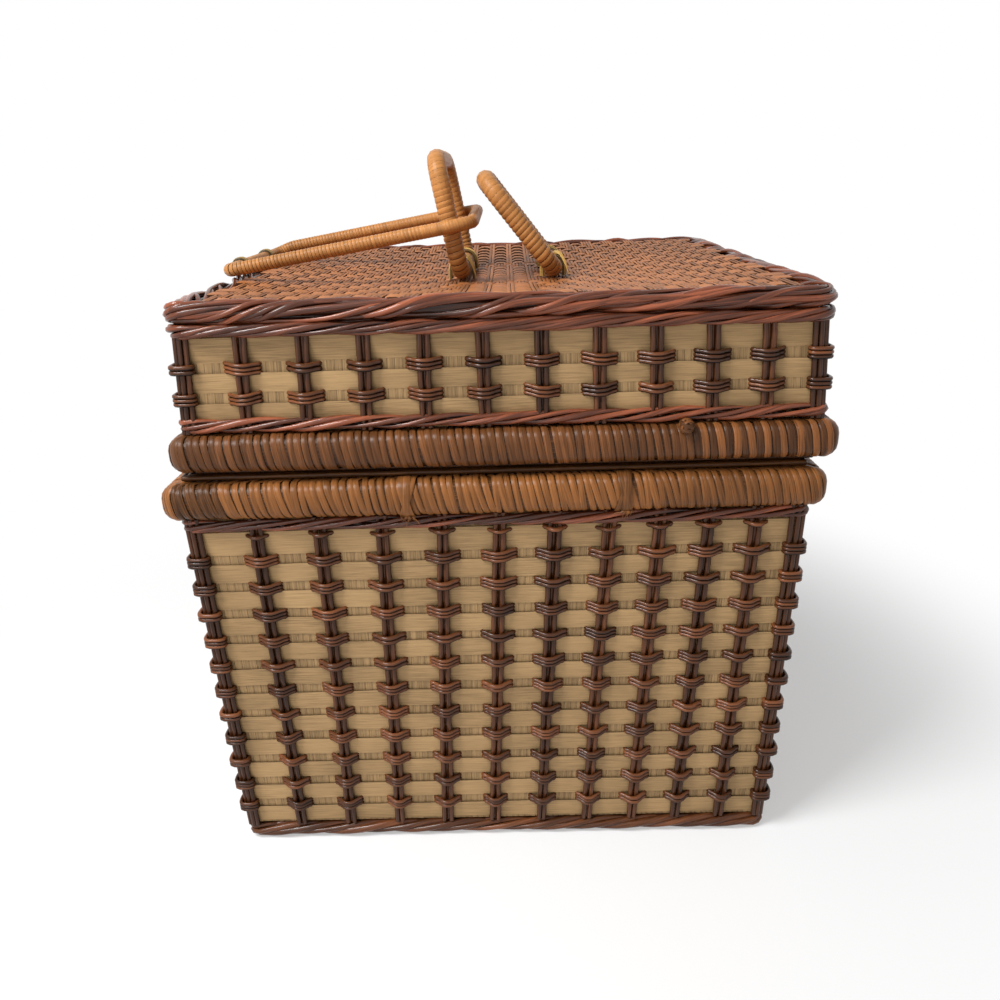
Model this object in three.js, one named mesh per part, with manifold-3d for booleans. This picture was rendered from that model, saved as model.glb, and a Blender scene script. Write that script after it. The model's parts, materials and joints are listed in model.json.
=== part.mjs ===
// Woven picnic basket: a square two-colour box, a deep hinged lid, two ring handles and a closing loop.
// Millimetres, +Z up. The origin is on the floor under the middle of the box, the front faces -Y,
// the lid hinges along the right-hand side (+X) and the closing loop hangs on the left.
import * as THREE from "three";
import { mergeVertices } from "three/addons/utils/BufferGeometryUtils.js";
import Module from "manifold-3d";

const wasm = await Module();
wasm.setup();

// Driving sizes of the box
const boxHeight = 279; // floor to the top of the box rim
const boxRimWidth = 400; // outside, the same both ways
const boxRimHeight = 27;
const boxRimThickness = 18;
const boxRimGroove = 3.3; // how far the rim's rounded face stops short of its top
const boxRimOverhang = 12.5; // how far the rim stands out from the woven wall under it
const boxWallLean = 5.5; // how far the wall leans outwards from the base braid up to the rim
const baseBraidHeight = 11;
const baseBraidWidth = 14;
const baseBraidProud = 5; // how far the base braid stands out from the wall
const basePanelThickness = 4;

// Driving sizes of the lid
const lidShift = 6.5; // the lid sits this far towards its hinges
const lidHeight = 102.1; // bottom of the lid rim to the top of the border
const lidRimInset = 2; // how far the lid rim lies inside the box rim, on each side
const lidRimHeight = 25.6;
const lidRimThickness = 18;
const lidRimGroove = 2.2; // how far the rim's rounded face stops short of its bottom
const lidRimOverhang = 12;
const lidWallLean = 2.5; // how far the lid's wall leans inwards from its rim up to the border
const borderHeight = 19.5; // the thick rope of rods round the lid's top edge
const borderWidth = 19;
const borderProud = 8;
const panelDrop = 1.5; // from the top of the border down to the panel's edge
const panelSag = 8.5; // how far the panel hangs in the middle, below its edge
const panelThickness = 5;
const panelSteps = 8;

// Weave of the walls: pale rows, dark stakes and the dark clasps that bind them
const bays = 11; // spaces between stakes along one side
const splintThickness = 3.2;
const boxRowPitch = 19.3;
const lidRowPitch = 17.6;
const rowHeight = 10;
const lastClasp = 4.5; // as much of the top clasps as shows under the braid or border above them
const rowProud = 0.8;
const stakeWidth = 10.5;
const stakeDepth = 4;
const claspWidth = 24;
const claspDepth = 6.6;
const boxDriftTop = 21; // how far the middle stakes stand to the right of even spacing
const boxDriftBottom = 10;
const lidDrift = 7.5;
const braidHeight = 6.5; // the thin braid that ties the stakes together along each rim
const braidDepth = 5;

// Ring handles, their ties and the closing loop
const ringRod = 13;
const ringWidth = 112; // between the middles of the two legs
const ringRise = 76; // base bar to top bar, middle to middle
const ringCorner = 18;
const leftRingPlace = -27; // from the middle of the lid
const leftRingLean = -10.5;
const rightRingPlace = 39;
const rightRingLean = -38;
const loopRod = 9;
const loopGap = 1.8; // sideways room between the loop's bars and the left ring
const loopSwingGap = 0.6; // room for the loop's end to swing over the left ring
const loopCorner = 14;
const loopKneeOut = 12; // the bend in the loop's bars, from the foot bar
const loopKneeUp = 6.5;
const loopEndUp = 28.5; // the loop's closed end, above the foot bar
const tieThickness = 1.4;
const tieWidth = 6;
const tieInset = 22; // from a ring's leg to its tie
const rimTieWidth = 9;
const rimTieShare = 0.36; // how far a rim tie reaches above and below the middle of the rim's face
const leftRimTiePlace = -51; // rim ties, from the middle of the front
const rightRimTiePlace = 80;
const knotPlace = 106; // ball knot on the lid rim, from the middle of the front
const knotDiameter = 8;
const hingePlace = 120; // hinge ties, from the middle of the right-hand side
const hingeKnuckle = 5;
const hingeTieWidth = 16;
const hingeTieReach = 20; // how far a hinge tie runs along its rim

const clearance = 0.3;
const rimGap = 0.4;
const rimSetback = 2; // from a rim's rounded face in to the level ledge where the rims meet
const rimRoundShare = 0.5; // how much of a rim's thickness its outer face is rounded off
const shoulderShare = 1 - Math.SQRT1_2; // where a quarter circle is halfway round, from its square corner
const outerCorner = 10; // plan radius on the outside of the rims and braids
const innerCorner = 0.5; // least plan radius on their inside
const cornerSteps = 3;
const bendSteps = 3; // facets in a strap's quarter bend

// Heights and widths that follow from them
const boxWallTop = boxRimWidth - 2 * boxRimOverhang;
const boxWallBottom = boxWallTop - 2 * boxWallLean;
const lidRimWidth = boxRimWidth - 2 * lidRimInset;
const lidWallBottom = lidRimWidth - 2 * lidRimOverhang;
const lidWallTop = lidWallBottom - 2 * lidWallLean;
const boxRimBottom = boxHeight - boxRimHeight;
const boxFaceTop = boxHeight - boxRimGroove;
const lidBase = boxHeight + rimGap;
const lidRimTop = lidBase + lidRimHeight;
const lidFaceBottom = lidBase + lidRimGroove;
const lidTop = lidBase + lidHeight;
const borderBottom = lidTop - borderHeight;
const borderOuter = lidWallTop / 2 + borderProud;
const panelHalf = borderOuter - borderWidth - clearance;
const panelEdge = lidTop - panelDrop;
const baseBraidOuter = boxWallBottom / 2 + baseBraidProud;
const baseBraidInner = baseBraidOuter - baseBraidWidth;

// Colours and finishes
function finish(color, roughness) {
  return new THREE.MeshStandardMaterial({ color, roughness, metalness: 0 });
}
const paleSplint = finish(0xb89a62, 0.6);
const brownCane = finish(0x4a2412, 0.45);
const russetWrap = finish(0x7a3f1c, 0.45);
const goldenWrap = finish(0xa8702f, 0.45);
const honeyWrap = finish(0xa9682c, 0.4);
const chevronSplint = finish(0x8a5636, 0.55);
const tieCane = finish(0xd8b060, 0.5);

const basket = new THREE.Group();
const lid = new THREE.Group();
lid.position.x = lidShift;
basket.add(lid);

function addPiece(group, name, geometry, material) {
  const mesh = new THREE.Mesh(geometry, material);
  mesh.name = name;
  group.add(mesh);
  return mesh;
}

// A surface through rings of points, wrapped round on itself or capped at both ends.
function loft(rings, closed = false) {
  const count = rings[0].length;
  const index = [];
  const spans = closed ? rings.length : rings.length - 1;
  for (let i = 0; i < spans; i++) {
    const next = (i + 1) % rings.length;
    for (let j = 0; j < count; j++) {
      const k = (j + 1) % count;
      index.push(i * count + j, i * count + k, next * count + k);
      index.push(i * count + j, next * count + k, next * count + j);
    }
  }
  if (!closed) {
    const outline = rings[0].map((p) => capPoint(p, rings[0]));
    const last = (rings.length - 1) * count;
    for (const face of THREE.ShapeUtils.triangulateShape(outline, [])) {
      const [a, b, c] = face.sort((p, q) => p - q);
      index.push(a, c, b);
      index.push(last + a, last + b, last + c);
    }
  }
  const geometry = new THREE.BufferGeometry().setFromPoints(rings.flat());
  geometry.setIndex(index);
  return facingOut(geometry);
}

// A cap's points, flattened along the axis that the ring spans least.
function capPoint(point, ring) {
  const size = new THREE.Box3().setFromPoints(ring).getSize(new THREE.Vector3());
  if (size.z <= Math.min(size.x, size.y)) return new THREE.Vector2(point.x, point.y);
  if (size.x <= size.y) return new THREE.Vector2(point.y, point.z);
  return new THREE.Vector2(point.x, point.z);
}

// Turns a closed surface's faces round where they point inwards.
function facingOut(geometry) {
  const position = geometry.getAttribute("position");
  const index = geometry.index.array;
  const a = new THREE.Vector3();
  const b = new THREE.Vector3();
  const c = new THREE.Vector3();
  let volume = 0;
  for (let i = 0; i < index.length; i += 3) {
    a.fromBufferAttribute(position, index[i]);
    b.fromBufferAttribute(position, index[i + 1]);
    c.fromBufferAttribute(position, index[i + 2]);
    volume += a.dot(b.cross(c));
  }
  if (volume < 0) geometry.setIndex(Array.from(index).reverse());
  return geometry;
}

// Joins closed surfaces that reach into each other.
function join(geometries) {
  const solids = geometries.map((geometry) => {
    const bare = geometry.clone();
    bare.deleteAttribute("normal");
    bare.deleteAttribute("uv");
    const merged = mergeVertices(bare, 1e-4);
    return new wasm.Manifold(
      new wasm.Mesh({
        numProp: 3,
        vertProperties: new Float32Array(merged.getAttribute("position").array),
        triVerts: new Uint32Array(merged.index.array),
      }),
    );
  });
  const mesh = solids.reduce((all, solid) => all.add(solid)).getMesh();
  const joined = new THREE.BufferGeometry();
  joined.setAttribute("position", new THREE.BufferAttribute(mesh.vertProperties, mesh.numProp));
  joined.setIndex(new THREE.BufferAttribute(mesh.triVerts, 1));
  return joined;
}

// A square outline with round corners, counted anticlockwise.
function roundedSquare(half, radius) {
  const points = [];
  for (let corner = 0; corner < 4; corner++) {
    const middle = Math.PI / 4 + (corner * Math.PI) / 2;
    const centreX = (half - radius) * Math.sign(Math.cos(middle));
    const centreY = (half - radius) * Math.sign(Math.sin(middle));
    for (let step = 0; step <= cornerSteps; step++) {
      const angle = middle - Math.PI / 4 + (step / cornerSteps) * (Math.PI / 2);
      points.push(new THREE.Vector2(centreX + radius * Math.cos(angle), centreY + radius * Math.sin(angle)));
    }
  }
  return points;
}

// A square hoop with the given section of [inwards from its outer face, up] points.
function hoop(outerHalf, section) {
  const outlines = section.map(([inwards]) =>
    roundedSquare(outerHalf - inwards, Math.max(outerCorner - inwards, innerCorner)),
  );
  const rings = outlines[0].map((_, i) =>
    section.map(([, up], j) => new THREE.Vector3(outlines[j][i].x, outlines[j][i].y, up)),
  );
  return loft(rings, true);
}

// How far a rim's outer face is rounded off, above and below.
function rimRound(thickness, height) {
  return Math.min(height / 2, thickness * rimRoundShare);
}

// A rim's section: a rounded outer face, and behind it the level ledges of its bottom and top.
function rimSection(thickness, bottom, faceBottom, faceTop, top) {
  const round = rimRound(thickness, faceTop - faceBottom);
  const shoulder = round * shoulderShare;
  const ledge = round + rimSetback;
  return [
    [thickness, bottom],
    [ledge, bottom],
    [round, faceBottom],
    [shoulder, faceBottom + shoulder],
    [0, faceBottom + round],
    [0, faceTop - round],
    [shoulder, faceTop - shoulder],
    [round, faceTop],
    [ledge, top],
    [thickness, top],
  ];
}

// One woven storey: its wall and stakes lean between two heights, with as many pale rows as fit in its weave.
function storey({ bottom, top, width, drift, pitch, braidAt, weave }) {
  const between = (z, [low, high]) => THREE.MathUtils.mapLinear(z, bottom, top, low, high);
  const [weaveBottom, weaveTop] = weave;
  const rows = Math.floor((weaveTop - weaveBottom + pitch - rowHeight) / pitch);
  const firstRow = (weaveTop + weaveBottom - (rows - 1) * pitch) / 2;
  return {
    bottom,
    top,
    braidAt,
    half: (z) => between(z, width) / 2,
    drift: (z) => between(z, drift),
    rowHeights: Array.from({ length: rows }, (_, row) => firstRow + row * pitch),
    claspHeights: Array.from({ length: rows - 1 }, (_, row) => firstRow + (row + 0.5) * pitch),
  };
}

// A length of the front side with mitred ends, through a profile of [out from the middle, up] points.
function mitred(profile) {
  const end = (side) => profile.map(([out, up]) => new THREE.Vector3(side * (out - clearance), -out, up));
  return loft([end(-1), end(1)]);
}

// The pale wall: a flat inner face and one proud band for each horizontal splint.
function wall({ bottom, top, half, rowHeights }) {
  const outer = [[half(bottom) - rowProud, bottom]];
  for (const height of rowHeights) {
    const low = height - rowHeight / 2;
    const high = low + rowHeight;
    outer.push([half(low) - rowProud, low - rowProud], [half(low), low]);
    outer.push([half(high), high], [half(high) - rowProud, high + rowProud]);
  }
  outer.push([half(top) - rowProud, top]);
  const inner = [
    [half(top) - splintThickness, top],
    [half(bottom) - splintThickness, bottom],
  ];
  return mitred([...outer, ...inner]);
}

// Heights along a stake: narrow on the pale rows, widest in the middle of each clasp and at the top.
function stakeStations({ rowHeights, claspHeights }, bottom, top) {
  const stations = [{ z: bottom, clasp: false }];
  claspHeights.forEach((height, i) => {
    stations.push({ z: height, clasp: true }, { z: rowHeights[i + 1], clasp: false });
  });
  stations.push({ z: top, clasp: true });
  return stations;
}

// One stake on the front, at a share of the way from left to right, standing just off the wall.
function stake(level, share, bottom, top) {
  const rings = stakeStations(level, bottom, top).map(({ z, clasp }) => {
    const middle = (2 * share - 1) * level.half(z) + level.drift(z) * 4 * share * (1 - share);
    const face = level.half(z) + clearance;
    const side = (clasp ? claspWidth : stakeWidth) / 2;
    const depth = clasp ? claspDepth : stakeDepth;
    return [
      new THREE.Vector3(middle - side, -face, z),
      new THREE.Vector3(middle + side, -face, z),
      new THREE.Vector3(middle, -face - depth, z),
    ];
  });
  return loft(rings);
}

// The stakes of the front and the braid that binds their ends.
function stakeRow(level, bottom, top) {
  const { half, braidAt } = level;
  const back = (z) => half(z) + clearance;
  const braidTop = braidAt + braidHeight;
  const braid = mitred([
    [back(braidAt), braidAt],
    [back(braidAt) + braidDepth * 0.6, braidAt],
    [back(braidAt) + braidDepth, braidAt + braidHeight * 0.3],
    [back(braidTop) + braidDepth, braidAt + braidHeight * 0.7],
    [back(braidTop) + braidDepth * 0.6, braidTop],
    [back(braidTop), braidTop],
  ]);
  const pieces = [braid];
  for (let number = 1; number < bays; number++) {
    pieces.push(stake(level, number / bays, bottom, top));
  }
  return join(pieces);
}

// A stake that turns round the front left corner.
function cornerPost(level, bottom, top) {
  const rings = stakeStations(level, bottom, top).map(({ z, clasp }) => {
    const corner = level.half(z);
    const face = corner + clearance;
    const side = (clasp ? claspWidth : stakeWidth) / 2;
    const depth = clasp ? claspDepth : stakeDepth;
    const wing = [
      [corner - side, face],
      [corner - side * 0.4, face + depth],
      [face + depth * 0.7, face + depth * 0.7],
      [face + depth, corner - side * 0.4],
      [face, corner - side],
      [face, face],
    ];
    return wing.map(([x, y]) => new THREE.Vector3(-x, -y, z));
  });
  return loft(rings);
}

// The four walls, stake rows and corner posts of one storey, turned from the front to each side.
function addSides(group, prefix, level, stakeBottom, stakeTop, postBottom, postTop) {
  const sides = ["front", "right", "back", "left"];
  const corners = ["front_left", "front_right", "back_right", "back_left"];
  const wallShape = wall(level);
  const stakeShape = stakeRow(level, stakeBottom, stakeTop);
  const postShape = cornerPost(level, postBottom, postTop);
  sides.forEach((side, turn) => {
    const angle = (turn * Math.PI) / 2;
    addPiece(group, `${prefix}_wall_${side}`, wallShape.clone().rotateZ(angle), paleSplint);
    addPiece(group, `${prefix}_stakes_${side}`, stakeShape.clone().rotateZ(angle), brownCane);
    addPiece(group, `${prefix}_corner_${corners[turn]}`, postShape.clone().rotateZ(angle), brownCane);
  });
}

// Box: a flat woven bottom inside a braid, the walls on the braid and the wrapped rim on the walls
const baseWidth = 2 * (baseBraidInner - clearance);
const basePanel = new THREE.BoxGeometry(baseWidth, baseWidth, basePanelThickness);
addPiece(basket, "base_panel", basePanel.translate(0, 0, basePanelThickness / 2), paleSplint);

const baseBraidSection = [
  [1, 0],
  [0.15, 0],
  [0, 0.25],
  [0, 0.7],
  [0.2, 1],
  [1, 1],
].map(([inwards, up]) => [inwards * baseBraidWidth, up * baseBraidHeight]);
addPiece(basket, "base_braid", hoop(baseBraidOuter, baseBraidSection), brownCane);

const boxWallLow = baseBraidHeight + clearance;
const boxWallHigh = boxRimBottom - clearance;
const boxBraidAt = boxWallHigh - braidHeight;
const boxStorey = storey({
  bottom: boxWallLow,
  top: boxWallHigh,
  width: [boxWallBottom, boxWallTop],
  drift: [boxDriftBottom, boxDriftTop],
  pitch: boxRowPitch,
  braidAt: boxBraidAt,
  weave: [boxWallLow, boxBraidAt - lastClasp],
});
const braidBite = braidHeight * 0.4; // how far the stakes' ends run into their braid
addSides(basket, "box", boxStorey, boxWallLow, boxBraidAt + braidBite, boxWallLow, boxBraidAt - clearance);

const boxRimSection = rimSection(boxRimThickness, boxRimBottom, boxRimBottom, boxFaceTop, boxHeight);
addPiece(basket, "box_rim", hoop(boxRimWidth / 2, boxRimSection), goldenWrap);

// Lid: a wrapped rim, walls on the rim, the thick border on the walls and the chevron panel inside the border
const lidRimSection = rimSection(lidRimThickness, lidBase, lidFaceBottom, lidRimTop, lidRimTop);
addPiece(lid, "lid_rim", hoop(lidRimWidth / 2, lidRimSection), russetWrap);

const lidWallLow = lidRimTop + clearance;
const lidWallHigh = borderBottom - clearance;
const lidStorey = storey({
  bottom: lidWallLow,
  top: lidWallHigh,
  width: [lidWallBottom, lidWallTop],
  drift: [lidDrift, lidDrift],
  pitch: lidRowPitch,
  braidAt: lidWallLow,
  weave: [lidWallLow + braidHeight, lidWallHigh - lastClasp],
});
const lidStakeLow = lidWallLow + braidHeight - braidBite;
const lidPostLow = lidWallLow + braidHeight + clearance;
addSides(lid, "lid", lidStorey, lidStakeLow, lidWallHigh, lidPostLow, lidWallHigh);

const crestShare = 0.24; // where the border's level top starts, as a share of its width
const borderSection = [
  [1, 0],
  [0.25, 0],
  [0, 0.25],
  [0, 0.5],
  [0.07, 0.8],
  [crestShare, 1],
  [0.53, 1],
  [1, 0.93],
].map(([inwards, up]) => [inwards * borderWidth, borderBottom + up * borderHeight]);
addPiece(lid, "lid_border", hoop(borderOuter, borderSection), brownCane);

// The height of the sagging panel at a place on the lid.
function panelSurface(x, y) {
  return panelEdge - panelSag * (1 - (x / panelHalf) ** 2) * (1 - (y / panelHalf) ** 2);
}

const panel = new THREE.BoxGeometry(2 * panelHalf, 2 * panelHalf, panelThickness, panelSteps, panelSteps);
const panelPoints = panel.getAttribute("position");
for (let i = 0; i < panelPoints.count; i++) {
  const surface = panelSurface(panelPoints.getX(i), panelPoints.getY(i));
  panelPoints.setZ(i, surface - panelThickness / 2 + panelPoints.getZ(i));
}
addPiece(lid, "lid_panel", panel, chevronSplint);

// A closed loop of straight runs between corners, each rounded off over its own length.
function roundedLoop(corners) {
  const path = new THREE.CurvePath();
  const count = corners.length;
  const towards = (from, to) => to.at.clone().sub(from.at).setLength(from.round).add(from.at);
  corners.forEach((corner, i) => {
    const before = corners[(i + count - 1) % count];
    const after = corners[(i + 1) % count];
    const leave = towards(corner, after);
    path.add(new THREE.QuadraticBezierCurve3(towards(corner, before), corner.at, leave));
    path.add(new THREE.LineCurve3(leave, towards(after, corner)));
  });
  return path;
}

// A cane strap bent over a bar along Y, its two ends on the surface below the bar.
function strapOver(barDiameter, height) {
  const inside = barDiameter / 2 + clearance;
  const outside = inside + tieThickness;
  const shape = new THREE.Shape();
  shape.moveTo(outside, -height);
  shape.absarc(0, 0, outside, 0, Math.PI, false);
  shape.lineTo(-outside, -height);
  shape.lineTo(-inside, -height);
  shape.absarc(0, 0, inside, Math.PI, 0, true);
  shape.lineTo(inside, -height);
  const bend = { depth: tieWidth, bevelEnabled: false, curveSegments: bendSteps };
  const geometry = new THREE.ExtrudeGeometry(shape, bend);
  return geometry.translate(0, 0, -tieWidth / 2).rotateX(Math.PI / 2);
}

// A ring handle lies along Y on the panel and leans about its base bar, under two straps.
function addRing(name, place, lean) {
  const side = ringWidth / 2;
  const footing = panelSurface(Math.abs(place) + ringRod, side - ringCorner);
  const axisHeight = footing + clearance + ringRod / 2;
  const corners = [
    new THREE.Vector3(0, -side, 0),
    new THREE.Vector3(0, side, 0),
    new THREE.Vector3(0, side, ringRise),
    new THREE.Vector3(0, -side, ringRise),
  ];
  const path = roundedLoop(corners.map((at) => ({ at, round: ringCorner })));
  const ring = addPiece(lid, name, new THREE.TubeGeometry(path, 26, ringRod / 2, 8, true), honeyWrap);
  ring.position.set(place, 0, axisHeight);
  ring.rotation.y = THREE.MathUtils.degToRad(lean);
  for (const [end, sign] of [["front", -1], ["rear", 1]]) {
    const strap = addPiece(lid, `${name}_tie_${end}`, strapOver(ringRod, ringRod / 2), tieCane);
    strap.position.set(place, sign * (side - tieInset), axisHeight);
  }
  return new THREE.Vector2(place, axisHeight);
}

const leftRingAxis = addRing("left_ring", leftRingPlace, leftRingLean);
addRing("right_ring", rightRingPlace, rightRingLean);

// The closing loop: its foot bar lies on top of the left border and its end reaches past the left ring,
// far enough for the end to swing up over the ring.
const leftRingTop = new THREE.Vector2(0, ringRise)
  .rotateAround(new THREE.Vector2(), THREE.MathUtils.degToRad(-leftRingLean))
  .add(leftRingAxis);
const loopFoot = new THREE.Vector2(crestShare * borderWidth - borderOuter, lidTop + clearance + loopRod / 2);
const swingReach = loopFoot.distanceTo(leftRingTop) + ringRod / 2 + loopSwingGap;
const loopEndOut = Math.sqrt(swingReach ** 2 - loopEndUp ** 2) + loopRod / 2;
const loopSide = ringWidth / 2 + ringRod / 2 + loopGap + loopRod / 2;
const legStart = Math.hypot(loopKneeOut, loopKneeUp);
const loopCorners = [];
for (const sign of [-1, 1]) {
  const at = (out, up) => new THREE.Vector3(loopFoot.x + out, sign * loopSide, loopFoot.y + up);
  const half = [
    { at: at(0, 0), round: 0.7 * legStart },
    { at: at(loopKneeOut, loopKneeUp), round: 0.25 * legStart },
    { at: at(loopEndOut, loopEndUp), round: loopCorner },
  ];
  loopCorners.push(...(sign < 0 ? half : half.reverse()));
}
const loopTube = new THREE.TubeGeometry(roundedLoop(loopCorners), 42, loopRod / 2, 7, true);
addPiece(lid, "closing_loop", loopTube, honeyWrap);
for (const [end, sign] of [["front", -1], ["rear", 1]]) {
  const strap = addPiece(lid, `closing_loop_tie_${end}`, strapOver(loopRod, loopRod / 2), tieCane);
  strap.position.set(loopFoot.x, sign * (ringWidth / 2 - tieInset), loopFoot.y);
}

// A strap over the rounded face of the box rim, where a new length of wrapping cane was started.
function rimTie() {
  const bulge = (boxFaceTop - boxRimBottom) * rimTieShare;
  const shape = new THREE.Shape();
  shape.moveTo(clearance, -bulge);
  shape.lineTo(clearance + tieThickness, tieThickness - bulge);
  shape.lineTo(clearance + tieThickness, bulge - tieThickness);
  shape.lineTo(clearance, bulge);
  const geometry = new THREE.ExtrudeGeometry(shape, { depth: rimTieWidth, bevelEnabled: false });
  geometry.translate(0, 0, -rimTieWidth / 2);
  return geometry.rotateX(Math.PI / 2).rotateZ(-Math.PI / 2);
}
for (const [side, place] of [["left", leftRimTiePlace], ["right", rightRimTiePlace]]) {
  const tie = addPiece(basket, `box_rim_tie_${side}`, rimTie(), goldenWrap);
  tie.position.set(place, -boxRimWidth / 2, (boxRimBottom + boxFaceTop) / 2);
}

// The ball knot that ends the lid rim's wrapping, on the rim's upper shoulder.
const knot = addPiece(lid, "lid_rim_knot", new THREE.SphereGeometry(knotDiameter / 2, 8, 6), russetWrap);
const lidShoulder = rimRound(lidRimThickness, lidRimTop - lidFaceBottom) * shoulderShare;
const offRim = (knotDiameter / 2 + clearance) * Math.SQRT1_2;
knot.position.set(knotPlace, -lidRimWidth / 2 + lidShoulder - offRim, lidRimTop - lidShoulder + offRim);

// Hinge ties: a cane loop on each rim with knuckles that turn on one line just outside the rims
const rimsOuter = Math.max(boxRimWidth / 2, lidShift + lidRimWidth / 2);
const hingeX = rimsOuter + clearance + hingeKnuckle / 2;
const hingeZ = boxHeight + rimGap / 2;

// A strap on a rim's outer face that ends in a round knuckle, in the plane square to the rim.
function hingeTie(faceX, towards, width) {
  const knuckle = hingeKnuckle / 2;
  const run = towards * hingeTieReach;
  const face = faceX - hingeX + clearance;
  const shape = new THREE.Shape();
  shape.moveTo(face, run);
  shape.lineTo(face + tieThickness, run);
  shape.lineTo(knuckle, towards * knuckle);
  shape.absarc(0, 0, knuckle, 0, towards * -Math.PI, towards > 0);
  shape.lineTo(-knuckle, towards * knuckle);
  shape.lineTo(face, run * 0.6);
  const bend = { depth: width, bevelEnabled: false, curveSegments: bendSteps };
  const geometry = new THREE.ExtrudeGeometry(shape, bend);
  return geometry.translate(0, 0, -width / 2).rotateX(Math.PI / 2);
}
for (const [end, sign] of [["front", -1], ["rear", 1]]) {
  const along = sign * hingePlace;
  const offset = (hingeTieWidth / 2 + clearance) / 2;
  const boxTie = hingeTie(boxRimWidth / 2, -1, hingeTieWidth / 2).translate(hingeX, along - offset, hingeZ);
  addPiece(basket, `box_hinge_tie_${end}`, boxTie, tieCane);
  const lidFace = lidShift + lidRimWidth / 2;
  const lidTie = hingeTie(lidFace, 1, hingeTieWidth / 2).translate(hingeX - lidShift, along + offset, hingeZ);
  addPiece(lid, `lid_hinge_tie_${end}`, lidTie, tieCane);
}

export default basket;
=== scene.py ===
import json
import math

import bpy
import numpy as np
from mathutils import Matrix, Vector


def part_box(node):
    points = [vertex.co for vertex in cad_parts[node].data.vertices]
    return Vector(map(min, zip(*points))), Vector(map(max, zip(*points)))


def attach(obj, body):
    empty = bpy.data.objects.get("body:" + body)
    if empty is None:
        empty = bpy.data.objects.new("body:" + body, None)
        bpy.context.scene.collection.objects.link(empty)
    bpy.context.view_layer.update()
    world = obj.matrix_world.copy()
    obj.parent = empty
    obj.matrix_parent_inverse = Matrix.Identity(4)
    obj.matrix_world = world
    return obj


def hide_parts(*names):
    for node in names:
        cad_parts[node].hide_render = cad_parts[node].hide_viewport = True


bl_info = {
    "name": "Woven Picnic Basket",
    "version": (1, 0, 0),
    "blender": (4, 5, 0),
    "location": "3D View > Sidebar > Basket",
    "description": "Dresses a square two-colour picnic basket in woven splint and wrapped cane",
    "category": "Add Mesh",
}

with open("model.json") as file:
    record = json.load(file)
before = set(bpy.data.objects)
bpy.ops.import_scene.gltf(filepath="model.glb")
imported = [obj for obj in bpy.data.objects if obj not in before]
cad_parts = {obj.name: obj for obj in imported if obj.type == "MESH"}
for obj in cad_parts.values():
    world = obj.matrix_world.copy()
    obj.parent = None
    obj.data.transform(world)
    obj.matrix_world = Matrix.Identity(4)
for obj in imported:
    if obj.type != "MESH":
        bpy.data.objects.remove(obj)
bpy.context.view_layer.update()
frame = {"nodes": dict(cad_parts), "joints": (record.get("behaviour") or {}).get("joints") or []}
MM = 0.001
FRONT = (0, -1, 0)
LEFT = (-1, 0, 0)
UP = (0, 0, 1)
STOREYS = ("box", "lid")
SIDES = ("front", "right", "back", "left")
CORNERS = ("front_left", "front_right", "back_right", "back_left")
ENDS = ("front", "rear")

# Where the draws by chance start for each piece, or for the first of its like
SEEDS = {
    "box_wall": 10, "lid_wall": 20, "box_stakes": 30, "lid_stakes": 40,
    "box_corner": 50, "lid_corner": 60, "lid_border": 70, "base_braid": 71,
    "lid_panel": 72, "base_panel": 73, "box_braid": 74, "lid_braid": 75,
    "lid_rim": 76, "box_rim": 77, "left_ring": 80, "right_ring": 81,
    "closing_loop": 82, "lid_rim_knot": 90, "box_rim_tie": 91, "left_ring_tie": 100,
    "right_ring_tie": 102, "closing_loop_tie": 104, "box_hinge_tie": 110, "lid_hinge_tie": 112,
}

# Millimetres that the CAD solids share with the weave
BAND = 0.8  # how far a pale band stands out on a wall
WALL_END = 0.1  # within which a wall's points count as its bottom or its top
BRAID_HEIGHT = 6.5
LAST_CLASP = 4.5  # as much of the top clasps as shows
RIM_THICKNESS = 18
RIM_ROUND = 9  # of the outer face
RIM_EDGE = 3  # round of the inner edges
RIM_CORNER = 10
BOX_GROOVE = 3.3  # how far the box rim's face stops short of its top
LID_GROOVE = 2.2  # how far the lid rim's face stops short of its bottom
PANEL_THICKNESS = 5
RING_ROD = 13
RING_RISE = 76
RING_CORNER = 18
LOOP_ROD = 9
LOOP_KNEE = (13, 3.5)  # out from the foot bar and up
LOOP_TWIST = 1.6  # how far the loop's front bar hangs, and its rear bar stands, off its middle
LOOP_CORNER = 14
LOOP_ROUNDS = (0.7, 0.25)  # shares of the knee's length over which the foot and the knee are round
HINGE_KNUCKLE = 5

# Millimetres of the pale walls
UPRIGHTS = 8  # upright splints in a bay
UPRIGHT_SLIT = 0.14
UPRIGHT_DEPTH = 0.55  # from the wall's face in to the upright splints
UPRIGHT_STRAY = 0.15  # how much further in one may lie
SPLINT_THICKNESS = 0.6
SPLINT_CROWN = 0.15
ROW_CROWN = 0.12
ROW_DIVE = 0.5  # how far a row goes in behind a stake
ROW_STAND = 0.35  # how far a row stands out between the stakes
ROW_BULGE = 8  # the higher, the flatter a row lies between the stakes
ROW_LEAN = 0.9  # how much further out a row's upper edge stands than its lower edge
ROW_SWAY = 0.25  # how far a row strays up and down
ROW_STATIONS = (0, 0.05, 0.1, 0.17, 0.5, 0.83, 0.9, 0.95)  # shares of a bay where a row is bent
TOP_ROW = 3.0  # how much taller the top row is, where it goes in under the braid or the border
HIDDEN_LAP = 1  # how far the rows behind the uprights run in behind the pale rows
CORNER_TUCK = 1.0  # how far a row stops short of a corner

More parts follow.
